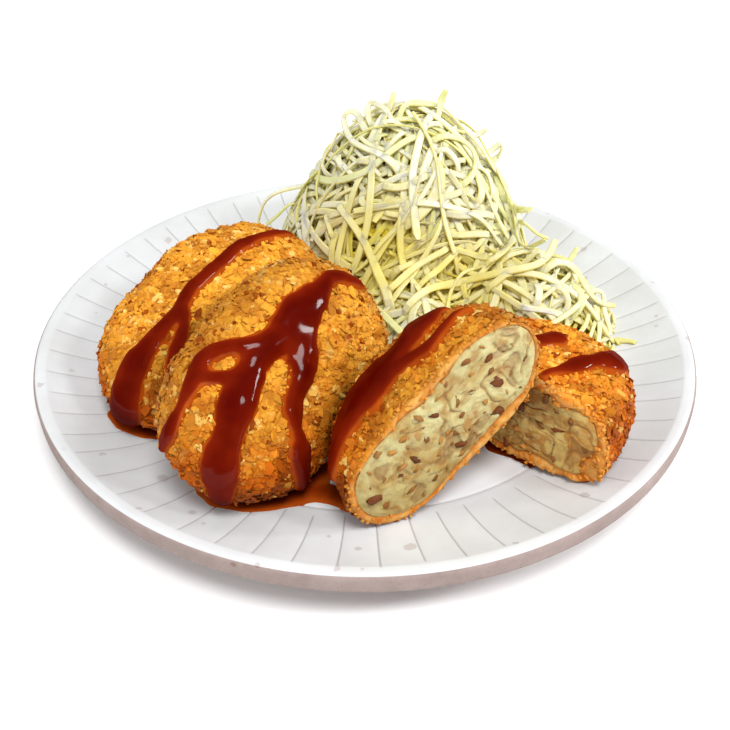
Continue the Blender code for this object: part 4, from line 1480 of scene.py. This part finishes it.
def tidy(path):
    """Ends a shred where it would enter a croquette, leave the plate or lie on it
    for long, and lets it spring free of small bumps."""
    bad = blocked(path, 1.1) | (np.hypot(path[:, 0], path[:, 1]) > 104.0)
    if bad.any():
        path = path[:int(np.argmax(bad))]
    if len(path) < 6:
        return None
    flat = path[:, 2] < rim_height(np.hypot(path[:, 0], path[:, 1])) + 1.0
    if flat.sum() > 6:
        path = path[:int(np.nonzero(flat)[0][5])]
    if len(path) < 6:
        return None
    for _ in range(3):
        path[1:-1] = 0.5 * path[1:-1] + 0.25 * (path[:-2] + path[2:])
    low = rim_height(np.hypot(path[:, 0], path[:, 1])) + 0.7
    path[:, 2] = np.maximum(path[:, 2], low)
    return path


def lay(pixels, lift, step_px=5.5):
    """A shred seen from the front along a line of picture places: each place is
    brought onto the heap, or beside it where the line leaves its outline."""
    flat = smooth_path([(x, y, 0.0) for x, y in pixels], step_px)[:, :2]
    t = np.arange(230.0, 470.0, 1.0)
    out = []
    for px, py in flat:
        ray = CAM_POS + np.array(sight(px, py), float)[None] * t[:, None]
        f = ray[:, 2] - soft_top(ray[:, 0], ray[:, 1]) - lift
        hit = np.nonzero(f < 0)[0]
        at = ray[hit[0]] if len(hit) and hit[0] > 0 else ray[np.argmin(f)]
        if at[2] < rim_height(np.hypot(at[0], at[1])) + 0.9:
            # past the foot of the heap it lies on the plate
            land = np.nonzero(ray[:, 2] < rim_height(np.hypot(ray[:, 0], ray[:, 1])) + 0.9)[0]
            at = ray[land[0]] if len(land) else at
        out.append(at)
    p = np.array(out)
    for _ in range(5):
        p[1:-1] = 0.5 * p[1:-1] + 0.25 * (p[:-2] + p[2:])
    p[:, 2] = np.maximum(p[:, 2], rim_height(np.hypot(p[:, 0], p[:, 1])) + 0.9)
    return p


def hollow_shades():
    """The two hollows of the heap, low between the croquettes, where the shreds are
    painted yellower as painted shade: the place on the heap, its reach in mm and
    its strength."""
    if not HOLLOW_SHADES:
        t = np.arange(230.0, 470.0, 1.0)
        for px, py, reach, share in ((372.0, 258.0, 33.0, 1.0), (462.0, 288.0, 33.0, 0.85)):
            ray = CAM_POS + np.array(sight(px, py), float)[None] * t[:, None]
            f = ray[:, 2] - soft_top(ray[:, 0], ray[:, 1])
            hit = np.nonzero(f < 0)[0]
            HOLLOW_SHADES.append((ray[hit[0]] if len(hit) else ray[np.argmin(f)], reach, share))
            print("hollow_shade", HOLLOW_SHADES[-1])
    return HOLLOW_SHADES


HOLLOW_SHADES = []


def strand_colour(rng, path, depth, yellow):
    """Pale outside; yellower and deeper inside the heap, low down and in the two
    hollows of the lower middle, as painted shade.
    """
    inner = smoothstep(0.5, 8.5, depth)
    kind = rng.random()
    base = LEAF_PALE if kind < 0.42 else (LEAF_CREAM if kind < 0.80 else LEAF_GREEN)
    hollow_shade = 0.5 * smoothstep(34.0, 14.0, path[:, 2])
    for centre, reach, share in hollow_shades():
        hollow_shade = np.maximum(hollow_shade, share * smoothstep(reach, 0.25 * reach, np.linalg.norm(path - centre, axis=1)))
    t = np.clip(inner * 1.1 + yellow + (0.68 + 0.60 * inner) * hollow_shade, 0, 1)
    col = mix(base, LEAF_YELLOW, t)
    col = mix(col, LEAF_DEEP, np.clip(inner - 0.38, 0, 1) * (0.8 + 0.9 * hollow_shade))
    along = np.linspace(0, 1, len(path))
    col = mix(col, LEAF_PALE, 0.22 * (1 - inner) * np.sin(along * rng.uniform(2, 5) + rng.uniform(0, 6)) ** 2)
    return col * 0.82


def add_strand(rng, parts, path, depth, width, thick, yellow=0.0, twisty=1.0, face=0.0):
    n = len(path)
    s = np.linspace(0, 1, n)
    w = width * (0.92 + 0.12 * np.sin(s * rng.uniform(3, 9) + rng.uniform(0, 6)))
    w[0] *= rng.uniform(0.6, 1.0)
    w[-1] *= rng.uniform(0.5, 1.0)
    t = thick * np.ones(n)
    turn = rng.normal(0, 0.28) + twisty * (rng.normal(0, 0.35) * s + 0.30 * np.sin(s * rng.uniform(3, 8) + rng.uniform(0, 6)))
    if rng.random() < 0.22 * twisty:
        turn = turn + math.pi * smoothstep(0.0, 0.35, s - rng.uniform(0.1, 0.6))      # rolls over once
    up = surface_frame(path[:, 0], path[:, 1])
    if face > 0:
        view = CAM_POS - path
        up = up * (1 - face) + face * view / np.linalg.norm(view, axis=1)[:, None]
        up /= np.linalg.norm(up, axis=1)[:, None]
    parts.append(ribbon(path, w, t, turn, strand_colour(rng, path, depth, yellow), up))


def build_cabbage(mat):
    rng = np.random.default_rng(77)
    wide, fine = [], []
    layers = (
        # count, depth, length, bend, share with a free end, step
        (230, 5.4, 8.8, 34, 90, 0.012, 0.0, 3.2),
        (310, 2.6, 5.4, 36, 95, 0.012, 0.03, 3.0),
        (320, 0.8, 2.8, 36, 100, 0.013, 0.10, 2.7),
        (230, -1.4, 0.6, 45, 120, 0.015, 0.30, 2.5),
    )
    for count, d0, d1, l0, l1, bend, flare, step in layers:
        for path, depth in walks(rng, count, d0, d1, l0, l1, bend, flare, step):
            path = tidy(path)
            if path is None:
                continue
            mid = path[len(path) // 2]
            front = surface_frame(mid[0], mid[1]) @ ((CAM_POS - mid) / np.linalg.norm(CAM_POS - mid))
            if depth < 0.6 and front > 0.25 and rng.random() < 0.6:
                continue                                 # room for the traced shreds
            depth = max(depth, 0.0)
            if rng.random() < (0.64 if depth < 2.8 else 0.5):
                add_strand(rng, wide, path, depth, rng.uniform(2.3, 3.5), rng.uniform(0.6, 0.9), twisty=0.75)
            else:
                add_strand(rng, fine, path, depth, rng.uniform(1.5, 2.2), rng.uniform(0.55, 0.8), twisty=1.2)
    # long loose ones over the sides and the back
    loose = np.random.default_rng(31)
    for path, depth in walks(loose, 150, -3.4, -1.2, 55, 110, 0.026, 0.50, 2.8):
        path = tidy(path)
        if path is None:
            continue
        view = (CAM_POS - path) / np.linalg.norm(CAM_POS - path, axis=1)[:, None]
        if ((surface_frame(path[:, 0], path[:, 1]) * view).sum(1) < 0.30).all():
            add_strand(loose, wide, path, 0.0, loose.uniform(2.3, 3.4), loose.uniform(0.6, 0.85), twisty=0.6)
    # long loose shreds, loops and ends on top of the rest
    for k, (pixels, width) in enumerate(FEATURES):
        rise = 2.2 + 1.5 * ((k * 7) % 5) / 4
        path = lay(pixels, rise)
        run = np.concatenate([[0.0], np.cumsum(np.linalg.norm(np.diff(path, axis=0), axis=1))])
        for gone in (run, run[-1] - run):
            end = path[int(np.argmin(gone))]
            if end[2] - soft_top(end[0], end[1]) < rise + 0.8:       # over the heap: tuck the end in
                path = path - surface_frame(path[:, 0], path[:, 1]) * ((rise + 2.4) * smoothstep(8.0, 0.0, gone))[:, None]
        path[:, 2] = np.maximum(path[:, 2], rim_height(np.hypot(path[:, 0], path[:, 1])) + 0.8)
        bad = blocked(path, 0.8)
        if bad.any():
            path = path[:int(np.argmax(bad))] if bad[len(bad) // 2:].any() else path[~bad]
            if len(path) < 4:
                continue
        add_strand(rng, wide, path, 0.0, width * 0.98, 0.8, twisty=0.35, face=0.45)
    print("cabbage", len(wide), len(fine))
    for name, group in (("cabbage_broad_shreds", wide), ("cabbage_fine_shreds", fine)):
        v, t, c = merge(group)
        ob = make_object(name, v, t, None, mat, c, smooth=False)
        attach(ob, "root")
        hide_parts("cabbage_heap")
        print(name, len(t))


# picture places of loose shreds, and the width of each in mm
FEATURES = (
    (((446.4, 90.4), (441.8, 96.8), (440.1, 104.4), (439.3, 113.4), (438.8, 121)), 2.8),
    (((438.3, 104.9), (423.5, 103.2), (410.7, 101.9), (400.5, 107), (392.9, 114.6)), 2.7),
    (((366.1, 124.8), (367.9, 115.9), (366.8, 105.7), (369.4, 100.1), (377.6, 105.7), (386.5, 107.8), (394.1,
     117.2)), 2.5),
    (((363.5, 131.2), (361.7, 122.3), (357.1, 112.1), (350.8, 109.5), (341.8, 115.9), (345.7, 128.7), (350.8,
     141.4), (364.8, 147.8), (382.7, 155.5), (395.4, 164.4), (404.3, 182.2)), 2.9),
    (((348.2, 132.5), (336.7, 131.2), (334.7, 144), (324, 154.2), (321.4, 166.9), (326.5, 179.7)), 2.7),
    (((311.2, 172), (318.4, 180.2), (334.2, 181.5), (352, 177.1), (367.3, 170.8), (382.7, 158), (396.7, 146.5),
     (413.3, 136.8), (429.8, 131.2)), 3),
    (((366.1, 126.6), (380.1, 123.6), (392.9, 119.7), (412, 119.7)), 2.5),
    (((408.2, 109.5), (426, 117.2), (429.1, 127.4)), 2.2),
    (((413.3, 121), (428.6, 124.8), (443.9, 122.3), (455.4, 132.5)), 2.5),
    (((426, 138.4), (443.9, 135.1), (461.7, 138.9), (473.2, 149.1), (477, 161.8), (473.2, 177.1), (461.7, 186.1),
     (452.8, 189.9)), 2.9),
    (((451.5, 133.8), (466.8, 138.4), (477, 135.1), (486.7, 129.9)), 2.3),
    (((479.6, 159.8), (489.8, 151.6), (503.1, 141.4), (503.1, 146.5), (496.2, 162.3), (486, 159.3)), 2.5),
    (((479.6, 159.3), (491.1, 163.1), (496.2, 177.1), (501.3, 195), (507.7, 206.5), (520.4, 210.8), (530.1, 209.8)),
     2.7),
    (((474.5, 142.7), (479.1, 154.2), (475, 168.2), (478.8, 179.7), (483.4, 192.4), (477.6, 212.9)), 3.6),
    (((434.9, 207.8), (449, 214.1), (466.8, 215.4), (482.1, 212.9), (494.9, 216.7), (507.1, 223.6)), 3.2),
    (((427.3, 145.3), (434.9, 161.8), (440.1, 177.1), (437.5, 192.4), (428.6, 205.2), (413.3, 220.5), (400.5,
     228.2), (389, 231.2)), 4.5),
    (((299.7, 203.9), (307.4, 223.1), (317.6, 240.9), (334.2, 257.5), (352, 270.3), (369.9, 277.9)), 3.5),
    (((330.4, 192.4), (339.3, 207.8), (352, 223.1), (363.5, 240.9), (372.4, 258.8), (378.8, 276.6), (387.8, 294.5),
     (389, 318.7)), 3.4),
    (((257.7, 223.1), (262.8, 202.7), (274.2, 193), (290.8, 188.6), (311.2, 183.5)), 2.4),
    (((266.6, 224.3), (278.1, 215.4), (288.3, 203.9), (301, 192.4)), 2.2),
    (((290.8, 233.3), (288.3, 215.4), (295.9, 202.7), (311.2, 188.6)), 2.5),
    (((315.1, 221.8), (326.5, 218), (339.3, 212.9), (354.6, 203.9)), 2.5),
    (((371.2, 293.2), (387.8, 290.7), (400.5, 279.2), (413.3, 267.7), (431.1, 257.5), (461.7, 241.4)), 2.8),
    (((396.7, 321.3), (408.2, 304.7), (428.6, 288.1), (454.1, 283.8), (479.6, 277.1), (510.2, 270.3), (538.3,
     264.4), (551, 252.4), (555.4, 239.6)), 3.3),
    (((379.6, 274.6), (395.4, 270.3), (413.3, 262.6), (428.6, 257.5)), 2.7),
    (((519.1, 221), (529.3, 225.6), (535.7, 234.5), (548, 238.4)), 2.5),
    (((540.8, 266.4), (561.2, 260.1), (575.3, 267.7), (584.2, 284.3), (594.4, 299.6), (607.1, 305.2), (615.3, 306)),
     2.7),
    (((570.2, 261.3), (576, 256.2), (577.8, 247.3)), 2.5),
    (((589.3, 285.6), (604.1, 290.7), (603.3, 309.8), (610.2, 327.7), (611.7, 337.9), (605.9, 345.5)), 2.5),
    (((611.7, 336.6), (622.4, 339.9), (635.2, 343.7)), 2.3),
    (((501.3, 284.3), (515.3, 291.9), (524.2, 295.8)), 2.5),
    (((505.1, 300.9), (528.1, 308.5), (551, 311.1), (576.5, 321.3)), 2.7),
    (((538.3, 271.5), (540.1, 289.4), (536.2, 309.8), (530.6, 321.3)), 2.9),
    (((566.3, 274.1), (579.1, 286.8), (582.1, 304.7), (576.5, 322.6)), 2.7),
    (((548.5, 274.1), (566.3, 291.9), (569.4, 308.5), (561.7, 322.6)), 2.4),
    (((359.7, 179.7), (362.2, 192.4), (358.4, 202.7), (372.4, 207.8), (392.9, 202.7), (410.7, 205.2)), 2.9),
    (((343.1, 161.8), (362.2, 160.6), (383.9, 164.9)), 2.5),
    (((398, 175.9), (413.3, 166.9), (429.8, 162.3)), 2.4),
    (((369.9, 180.2), (387.8, 187.3), (403.1, 187.9), (418.4, 179.7), (440.1, 168.2)), 2.7),
    (((413.3, 182.2), (408.7, 202.7), (400.5, 218), (390.8, 225.6)), 2.5),
    (((448.5, 182.2), (454.1, 197.6), (451.5, 211.6)), 2.5),
    (((471.4, 220.5), (473.2, 235.8), (474.5, 254.2)), 2.5),
    (((517.9, 212.9), (517.1, 230.7), (510.2, 246), (494.9, 258.8), (471.9, 266.9)), 3),
    (((479.6, 238.4), (494.9, 233.3), (507.7, 227.7), (517.9, 223.1)), 2.5),
    (((400.5, 234.5), (393.4, 248.6), (403.1, 252.7), (413.8, 246)), 2.2),
    (((343.9, 246), (364.8, 245.5)), 2.7),
    (((402.6, 268.5), (413.3, 277.1), (417.9, 295.8)), 2.5),
    (((459.7, 266.4), (463.8, 286.8), (462.2, 307.2)), 2.5),
    (((502.6, 286.8), (507.7, 307.8)), 2.4),
    (((334.2, 146.5), (338, 159.3), (344.9, 178.4)), 2.5),
    (((413.3, 122.3), (400.5, 133.8), (387.8, 146.5), (375, 154.2)), 2.3),
    (((442.6, 158), (455.4, 161.8), (464.3, 159.3), (477, 159.8)), 2.5),
    (((464.3, 164.4), (479.6, 165.7), (489.3, 174.6), (492.9, 192.4), (495.4, 212.9)), 2.8),
    (((353.3, 129.9), (369.9, 146.5), (377.6, 146.5), (392.9, 146.5)), 2.3),
    (((385.2, 121), (377.6, 133.8), (369.9, 154.2)), 2.3),
    (((301, 200.1), (295.9, 212.9), (299.7, 233.3), (308.7, 253.7), (326.5, 269)), 2.5),
    (((433.7, 294.5), (443.9, 299.6), (454.1, 307.2)), 2.3),
    (((520.4, 248.6), (535.7, 248.6), (545.9, 253.7), (543.4, 266.4)), 2.5),
    (((471.9, 294.5), (487.2, 289.4), (505.1, 274.1), (525.5, 263.9)), 2.7),
    (((415.8, 281.7), (433.7, 274.1), (454.1, 253.7), (469.4, 246)), 2.5),
    (((326.5, 197.6), (324, 212.9), (331.6, 233.3), (334.2, 253.7)), 2.4),
    (((372.4, 202.7), (382.7, 212.9), (403.1, 215.4), (428.6, 212.9)), 2.6),
    (((438.8, 233.3), (459.2, 235.8), (479.6, 233.3), (501.3, 237.1)), 2.6),
    (((428.6, 154.2), (443.9, 146.5), (454.1, 156.7), (466.8, 182.2)), 2.4),
)


def core_top(x, y):
    """The core lies 9 mm in from the heap's surface, measured square to it."""
    gx, gy = heap_gradient(x, y)
    return soft_top(x, y) - 9.0 * np.sqrt(1 + gx * gx + gy * gy)


def build_core(mat):
    """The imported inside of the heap, which shows only between shreds."""
    cols, rows = 96, 40
    cx, cy = 27.0, 30.0
    ang = 2 * math.pi * np.arange(cols) / cols
    # reach of the core in each direction: where the lowered heap meets the plate
    reach = np.full(cols, 4.0)
    for _ in range(160):
        x, y = cx + reach * np.cos(ang), cy + reach * np.sin(ang)
        top = core_top(x, y)
        ground = rim_height(np.hypot(x, y)) + 0.5
        pts = np.stack([x, y, 0.5 * (top + ground)], 1)
        ok = (top > ground + 2.0) & (np.hypot(x, y) < 96.0) & ~blocked(pts, 2.5) \
            & ~blocked(np.stack([x, y, top], 1), 2.5) & ~blocked(np.stack([x, y, ground], 1), 2.5)
        reach = np.where(ok, reach + 0.5, reach)
    reach = reach - 0.5
    for _ in range(4):
        reach = np.minimum(reach, 0.5 * (np.roll(reach, 1) + np.roll(reach, -1)))
    s = np.linspace(0, 1, rows)[1:]
    X = cx + reach[None] * s[:, None] * np.cos(ang)
    Y = cy + reach[None] * s[:, None] * np.sin(ang)
    G = rim_height(np.hypot(X, Y)) + 0.5
    T = np.maximum(core_top(X, Y), G + 0.6)
    top = np.stack([X, Y, T], -1)
    flat = top.reshape(-1, 3)
    rel = 1.6 * noise3(flat * np.array([1, 1, 0.6]), 4.0, 3) + 1.0 * noise3(flat, 1.8, 4)
    top[..., 2] = np.maximum((flat[:, 2] + rel).reshape(T.shape), G + 0.4)
    low = np.stack([X[-1], Y[-1], G[-1]], -1)[None]
    mid = np.stack([cx + reach * 0.5 * np.cos(ang), cy + reach * 0.5 * np.sin(ang),
                    rim_height(np.hypot(cx + reach * 0.5 * np.cos(ang), cy + reach * 0.5 * np.sin(ang))) + 0.5], -1)[None]
    pts = np.concatenate([top, low, mid], 0)
    n = len(pts)
    verts = np.vstack([pts.reshape(-1, 3), [[cx, cy, float(core_top(cx, cy))]],
                       [[cx, cy, float(rim_height(math.hypot(cx, cy))) + 0.5]]])
    c = np.arange(cols)
    nx = (c + 1) % cols
    tris = np.concatenate([quads_to_tris(grid_faces(n, cols)),
                           np.stack([np.full(cols, n * cols), nx, c], 1),
                           np.stack([np.full(cols, n * cols + 1), (n - 1) * cols + c, (n - 1) * cols + nx], 1)])
    vol = np.einsum("ij,ij->i", verts[tris[:, 0]], np.cross(verts[tris[:, 1]], verts[tris[:, 2]])).sum()
    if vol < 0:
        tris = tris[:, [0, 2, 1]]
    # the core is painted deep yellow, as painted shade of the depths between the shreds
    colour = mix(LEAF_DEEP, LEAF_YELLOW, 0.3 + 0.4 * (0.5 + 0.5 * noise3(verts, 5.0, 8)))
    ob = make_object("cabbage_core", verts, tris, None, mat, colour)
    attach(ob, "root")
    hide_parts("cabbage_heap")


# ---------------------------------------------------------------- sauce
SAUCE_THIN = lin(160, 68, 13)
SAUCE_MID = lin(113, 25, 4)
SAUCE_DEEP = lin(83, 8, 1)


def closed_sheet(low, top, quads):
    """Closed body between two sheets of points with the same quads."""
    used = np.unique(quads)
    index = np.full(len(low), -1)
    index[used] = np.arange(len(used))
    q = index[quads]
    n = len(used)
    verts = np.concatenate([top[used], low[used]])
    edges = np.concatenate([q[:, [0, 1]], q[:, [1, 2]], q[:, [2, 3]], q[:, [3, 0]]])
    key = np.sort(edges, axis=1)
    code = key[:, 0].astype(np.int64) * n + key[:, 1]
    _, first, counts = np.unique(code, return_index=True, return_counts=True)
    rim = edges[first[counts == 1]]
    walls = np.stack([rim[:, 1], rim[:, 0], rim[:, 0] + n, rim[:, 1] + n], 1)
    return verts, np.concatenate([q, q[:, ::-1] + n, walls])


def build_sauce(mat):
    bodies = []
    skins = []
    for key, spec in SPECS.items():
        rows, cols = (190, 300) if "cut" not in spec else (120, 300)
        p, nrm, quads = outer_grid(spec, rows, cols)
        skins.append((p, quads))
        d = sauce_depth(key, p, nrm)
        keep = (d[quads] > -1.1).any(1)
        q = quads[keep]
        if not len(q):
            continue
        lump = 0.22 * noise3(p, 9.0, 311) + 0.12 * noise3(p, 4.0, 312)
        height = 0.30 + swell(d) + lump * smoothstep(0.4, 2.5, d)
        # sauce gathers towards the lower ends of its runs
        height += 0.35 * smoothstep(34.0, 14.0, p[:, 2]) * smoothstep(0.5, 2.0, d)
        # but it stays clear of the plate
        height = np.where(nrm[:, 2] < -0.3, np.minimum(height, np.maximum(p[:, 2] - WELL_Z - 0.2, 0.2)), height)
        top = p + nrm * np.maximum(height, -1.2)[:, None]
        low = p - nrm * 1.7
        v, f = closed_sheet(low, top, q)
        bodies.append((v, quads_to_tris(f)))

    # pools: a thin round-edged sheet on the plate
    step = 0.5
    xs, ys = np.arange(-100.0, 66.0, step), np.arange(-106.0, -8.0, step)
    X, Y = np.meshgrid(xs, ys)
    ground = rim_height(np.hypot(X, Y))
    flat = np.stack([X.ravel(), Y.ravel(), ground.ravel()], 1)
    quads = grid_faces(len(ys), len(xs), closed=False)
    pix = project(flat + np.array([0, 0, 0.5]))
    wobble = 1.2 * noise3(flat, 6.0, 321)
    far = np.linalg.norm(flat - CAM_POS, axis=1)
    for pool in POOLS:
        d = -(run_distance(pix[:, 0], pix[:, 1], (pool,)) + wobble) * far / FOCAL_PX
        keep = (d[quads] > -0.7).any(1)
        q = quads[keep]
        height = np.where(d > 0, 1.55 * np.tanh(0.62 * np.sqrt(np.maximum(d, 0.0))), 1.0 * d)
        top = flat + np.array([0, 0, 1.0]) * height[:, None]
        low = flat - np.array([0, 0, 0.9])
        v, f = closed_sheet(low, top, q)
        bodies.append((v, quads_to_tris(f)))

    verts, tris, base = [], [], 0
    for v, f in bodies:
        vol = np.einsum("ij,ij->i", v[f[:, 0]], np.cross(v[f[:, 1]], v[f[:, 2]])).sum()
        verts.append(v)
        tris.append((f if vol > 0 else f[:, ::-1]) + base)
        base += len(v)
    rough = make_object("sauce_rough", np.concatenate(verts), np.concatenate(tris))
    remesh = rough.modifiers.new("join", "REMESH")
    remesh.mode = "VOXEL"
    remesh.voxel_size = 0.00056
    remesh.adaptivity = 0.0
    bpy.context.view_layer.update()
    dg = bpy.context.evaluated_depsgraph_get()
    mesh = bpy.data.meshes.new_from_object(rough.evaluated_get(dg))
    bpy.data.objects.remove(rough, do_unlink=True)

    n = len(mesh.vertices)
    co = np.empty(n * 3, np.float32)
    mesh.vertices.foreach_get("co", co)
    co = co.reshape(-1, 3).astype(float) / MM
    edges = np.empty(len(mesh.edges) * 2, np.int32)
    mesh.edges.foreach_get("vertices", edges)
    edges = edges.reshape(-1, 2)
    count = np.bincount(edges.ravel(), minlength=n).astype(float)
    for strength in (0.6, -0.45, 0.6, -0.45, 0.6, -0.45, 0.6, -0.45, 0.5):
        total = np.zeros_like(co)
        for k in range(3):
            total[:, k] = np.bincount(edges[:, 0], co[edges[:, 1], k], n) + np.bincount(edges[:, 1], co[edges[:, 0], k], n)
        co += (total / count[:, None] - co) * strength
    mesh.vertices.foreach_set("co", (co * MM).astype(np.float32).ravel())
    mesh.update()

    # colour by thickness over what lies beneath
    allv, allq, base = [], [], 0
    for p, q in skins:
        allv.append(p)
        allq.append(q + base)
        base += len(p)
    allv, allq = np.concatenate(allv), np.concatenate(allq)
    tree = BVHTree.FromPolygons([tuple(v) for v in allv], [tuple(q) for q in allq.tolist()])
    skin_dist = np.array([tree.find_nearest(Vector(v), 6.0)[3] or 6.0 for v in co])
    plate_dist = np.abs(co[:, 2] - rim_height(np.hypot(co[:, 0], co[:, 1])))
    thick = np.minimum(skin_dist, plate_dist)
    on_plate = plate_dist < skin_dist
    t = np.where(on_plate, thick * 0.48, thick - 0.35)
    swirl = 0.5 * fbm(co, 7.0, 331, 3)
    col = mix(SAUCE_THIN, SAUCE_MID, smoothstep(0.10, 0.85, t + 0.2 * swirl))
    col = mix(col, SAUCE_DEEP, smoothstep(0.7, 1.9, t + 0.6 * swirl))
    # painted shade: pools are darkened right beside the croquettes
    col = col * mix(np.ones(3), np.array([0.36, 0.22, 0.17]), on_plate * smoothstep(4.0, 0.8, skin_dist))
    layer = mesh.color_attributes.new("Col", "FLOAT_COLOR", "POINT")
    rgba = np.ones((n, 4), np.float32)
    rgba[:, :3] = np.clip(col, 0, 1)
    layer.data.foreach_set("color", rgba.ravel())
    mesh.shade_smooth()
    mesh.materials.clear()
    mesh.materials.append(mat)
    ob = bpy.data.objects.new("brown_sauce", mesh)
    bpy.context.scene.collection.objects.link(ob)
    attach(ob, "root")
    print("sauce", n, len(mesh.polygons))


# ---------------------------------------------------------------- light and floor
def make_studio():
    world = bpy.data.worlds.new("studio")
    bpy.context.scene.world = world
    world.use_nodes = True
    tree = world.node_tree
    tree.nodes.clear()
    out = tree.nodes.new("ShaderNodeOutputWorld")
    amb = tree.nodes.new("ShaderNodeBackground")
    amb.inputs["Color"].default_value = (1.0, 1.0, 1.0, 1.0)
    amb.inputs["Strength"].default_value = 0.60
    refl = tree.nodes.new("ShaderNodeBackground")
    refl.inputs["Color"].default_value = (1.0, 1.0, 1.0, 1.0)
    refl.inputs["Strength"].default_value = 0.15
    path = tree.nodes.new("ShaderNodeLightPath")
    blend = tree.nodes.new("ShaderNodeMixShader")
    tree.links.new(path.outputs["Is Glossy Ray"], blend.inputs[0])
    tree.links.new(amb.outputs[0], blend.inputs[1])
    tree.links.new(refl.outputs[0], blend.inputs[2])
    # the backdrop itself is seen white
    back = tree.nodes.new("ShaderNodeBackground")
    back.inputs["Color"].default_value = (1.0, 1.0, 1.0, 1.0)
    back.inputs["Strength"].default_value = 1.0
    seen = tree.nodes.new("ShaderNodeMixShader")
    tree.links.new(path.outputs["Is Camera Ray"], seen.inputs[0])
    tree.links.new(blend.outputs[0], seen.inputs[1])
    tree.links.new(back.outputs[0], seen.inputs[2])
    tree.links.new(seen.outputs[0], out.inputs["Surface"])

    def area(name, place, target, size, power, colour=(1, 1, 1)):
        data = bpy.data.lights.new(name, "AREA")
        data.shape = "DISK"
        data.size = size
        data.energy = power
        data.color = colour
        ob = bpy.data.objects.new(name, data)
        ob.location = place
        ob.rotation_euler = (Vector(target) - Vector(place)).to_track_quat("-Z", "Y").to_euler()
        bpy.context.scene.collection.objects.link(ob)
        return ob

    key = area("key", (0.12, -0.58, 1.28), (0.0, 0.0, 0.02), 0.50, 13.1)
    key.visible_glossy = False                     # the side lights alone glint in the sauce
    fill = area("fill", (-0.95, -0.55, 0.75), (0.0, 0.0, 0.02), 0.50, 2.2)
    fill.visible_glossy = False
    area("side", (1.07, -0.43, 1.08), (0.0, 0.0, 0.02), 0.30, 6.5)
    area("glint", (1.12, 0.02, 0.45), (0.0, 0.0, 0.02), 0.17, 4.2)

    turn = np.linspace(0, 2 * math.pi, 97)[:-1]
    verts = np.stack([560.0 * np.cos(turn), 560.0 * np.sin(turn), np.zeros(96)], 1)
    n = Nodes("floor_white")
    n.shader.inputs["Base Color"].default_value = (0.93, 0.93, 0.93, 1.0)
    n.shader.inputs["Roughness"].default_value = 0.9
    n.shader.inputs["Specular IOR Level"].default_value = 0.0
    floor = make_object("floor", verts, None, [list(range(96))], n.mat)
    scene = bpy.context.scene
    scene.view_settings.view_transform = "Standard"
    scene.view_settings.look = "None"
    scene.view_settings.exposure = 0.0
    scene.view_settings.gamma = 1.0


# ---------------------------------------------------------------- all of it
make_camera()
make_studio()
# degrees round the cut, and how far in from the outside the filling begins there (mm)
HALVES["half_front"].update(rough=0.7, bits=1.0, ragged=0.8, chip=1.9, rim=(
    (0, 2.0), (12, 1.1), (20, 1.0), (28, 1.7), (41, 1.7), (48, 4.6), (60, 3.4), (72, 4.8), (88, 4.4), (100, 2.6),
    (116, 2.5), (130, 2.0), (140, 1.1), (149, 1.2), (160, 2.4), (180, 2.9), (195, 3.7), (208, 2.4), (220, 1.2),
    (228, 1.3), (238, 2.7), (264, 3.6), (290, 3.8), (308, 4.6), (320, 4.8), (330, 2.5), (341, 2.1), (353, 2.1)))
HALVES["half_back"].update(rough=1.5, bits=0.8, ragged=1.3, chip=2.8, rim=(
    (4, 4.1), (13, 2.8), (21, 1.8), (26, 1.5), (30, 3.6), (35, 5.7), (42, 5.6), (48, 3.4), (54, 6.2), (63, 5.2),
    (80, 3.2), (110, 2.8), (150, 3.2), (200, 2.6), (250, 3.0), (290, 3.4), (318, 6.0), (326, 4.0), (334, 2.9),
    (340, 3.3), (346, 6.8), (353, 7.2), (358, 5.2)))

build_plate(glaze_material())
crust_mat = crust_material()
build_crust("croquette_left_crust", CROQUETTES["croquette_left"], crust_mat, 104, 140, 3500, 1500, "croquette_left")
build_crust("croquette_front_crust", CROQUETTES["croquette_front"], crust_mat, 104, 140, 3500, 1500, "croquette_front")
build_crust("half_front_crust", HALVES["half_front"], crust_mat, 60, 130, 2300, 1000, "half_front_coating")
build_crust("half_back_crust", HALVES["half_back"], crust_mat, 64, 130, 2300, 1000, "half_back_coating")
fill_mat = filling_material()
build_filling("half_front_mash", HALVES["half_front"], fill_mat, "half_front_filling",
              lin(232, 212, 150), lin(212, 174, 104), np.array([0.72, 0.75, 0.73]))
build_filling("half_back_mash", HALVES["half_back"], fill_mat, "half_back_filling",
              lin(220, 186, 118), lin(196, 150, 82), np.array([1.0, 0.96, 0.78]))
build_sauce(sauce_material())
leaf_mat = cabbage_material()
build_core(leaf_mat)
build_cabbage(leaf_mat)

bpy.context.view_layer.update()
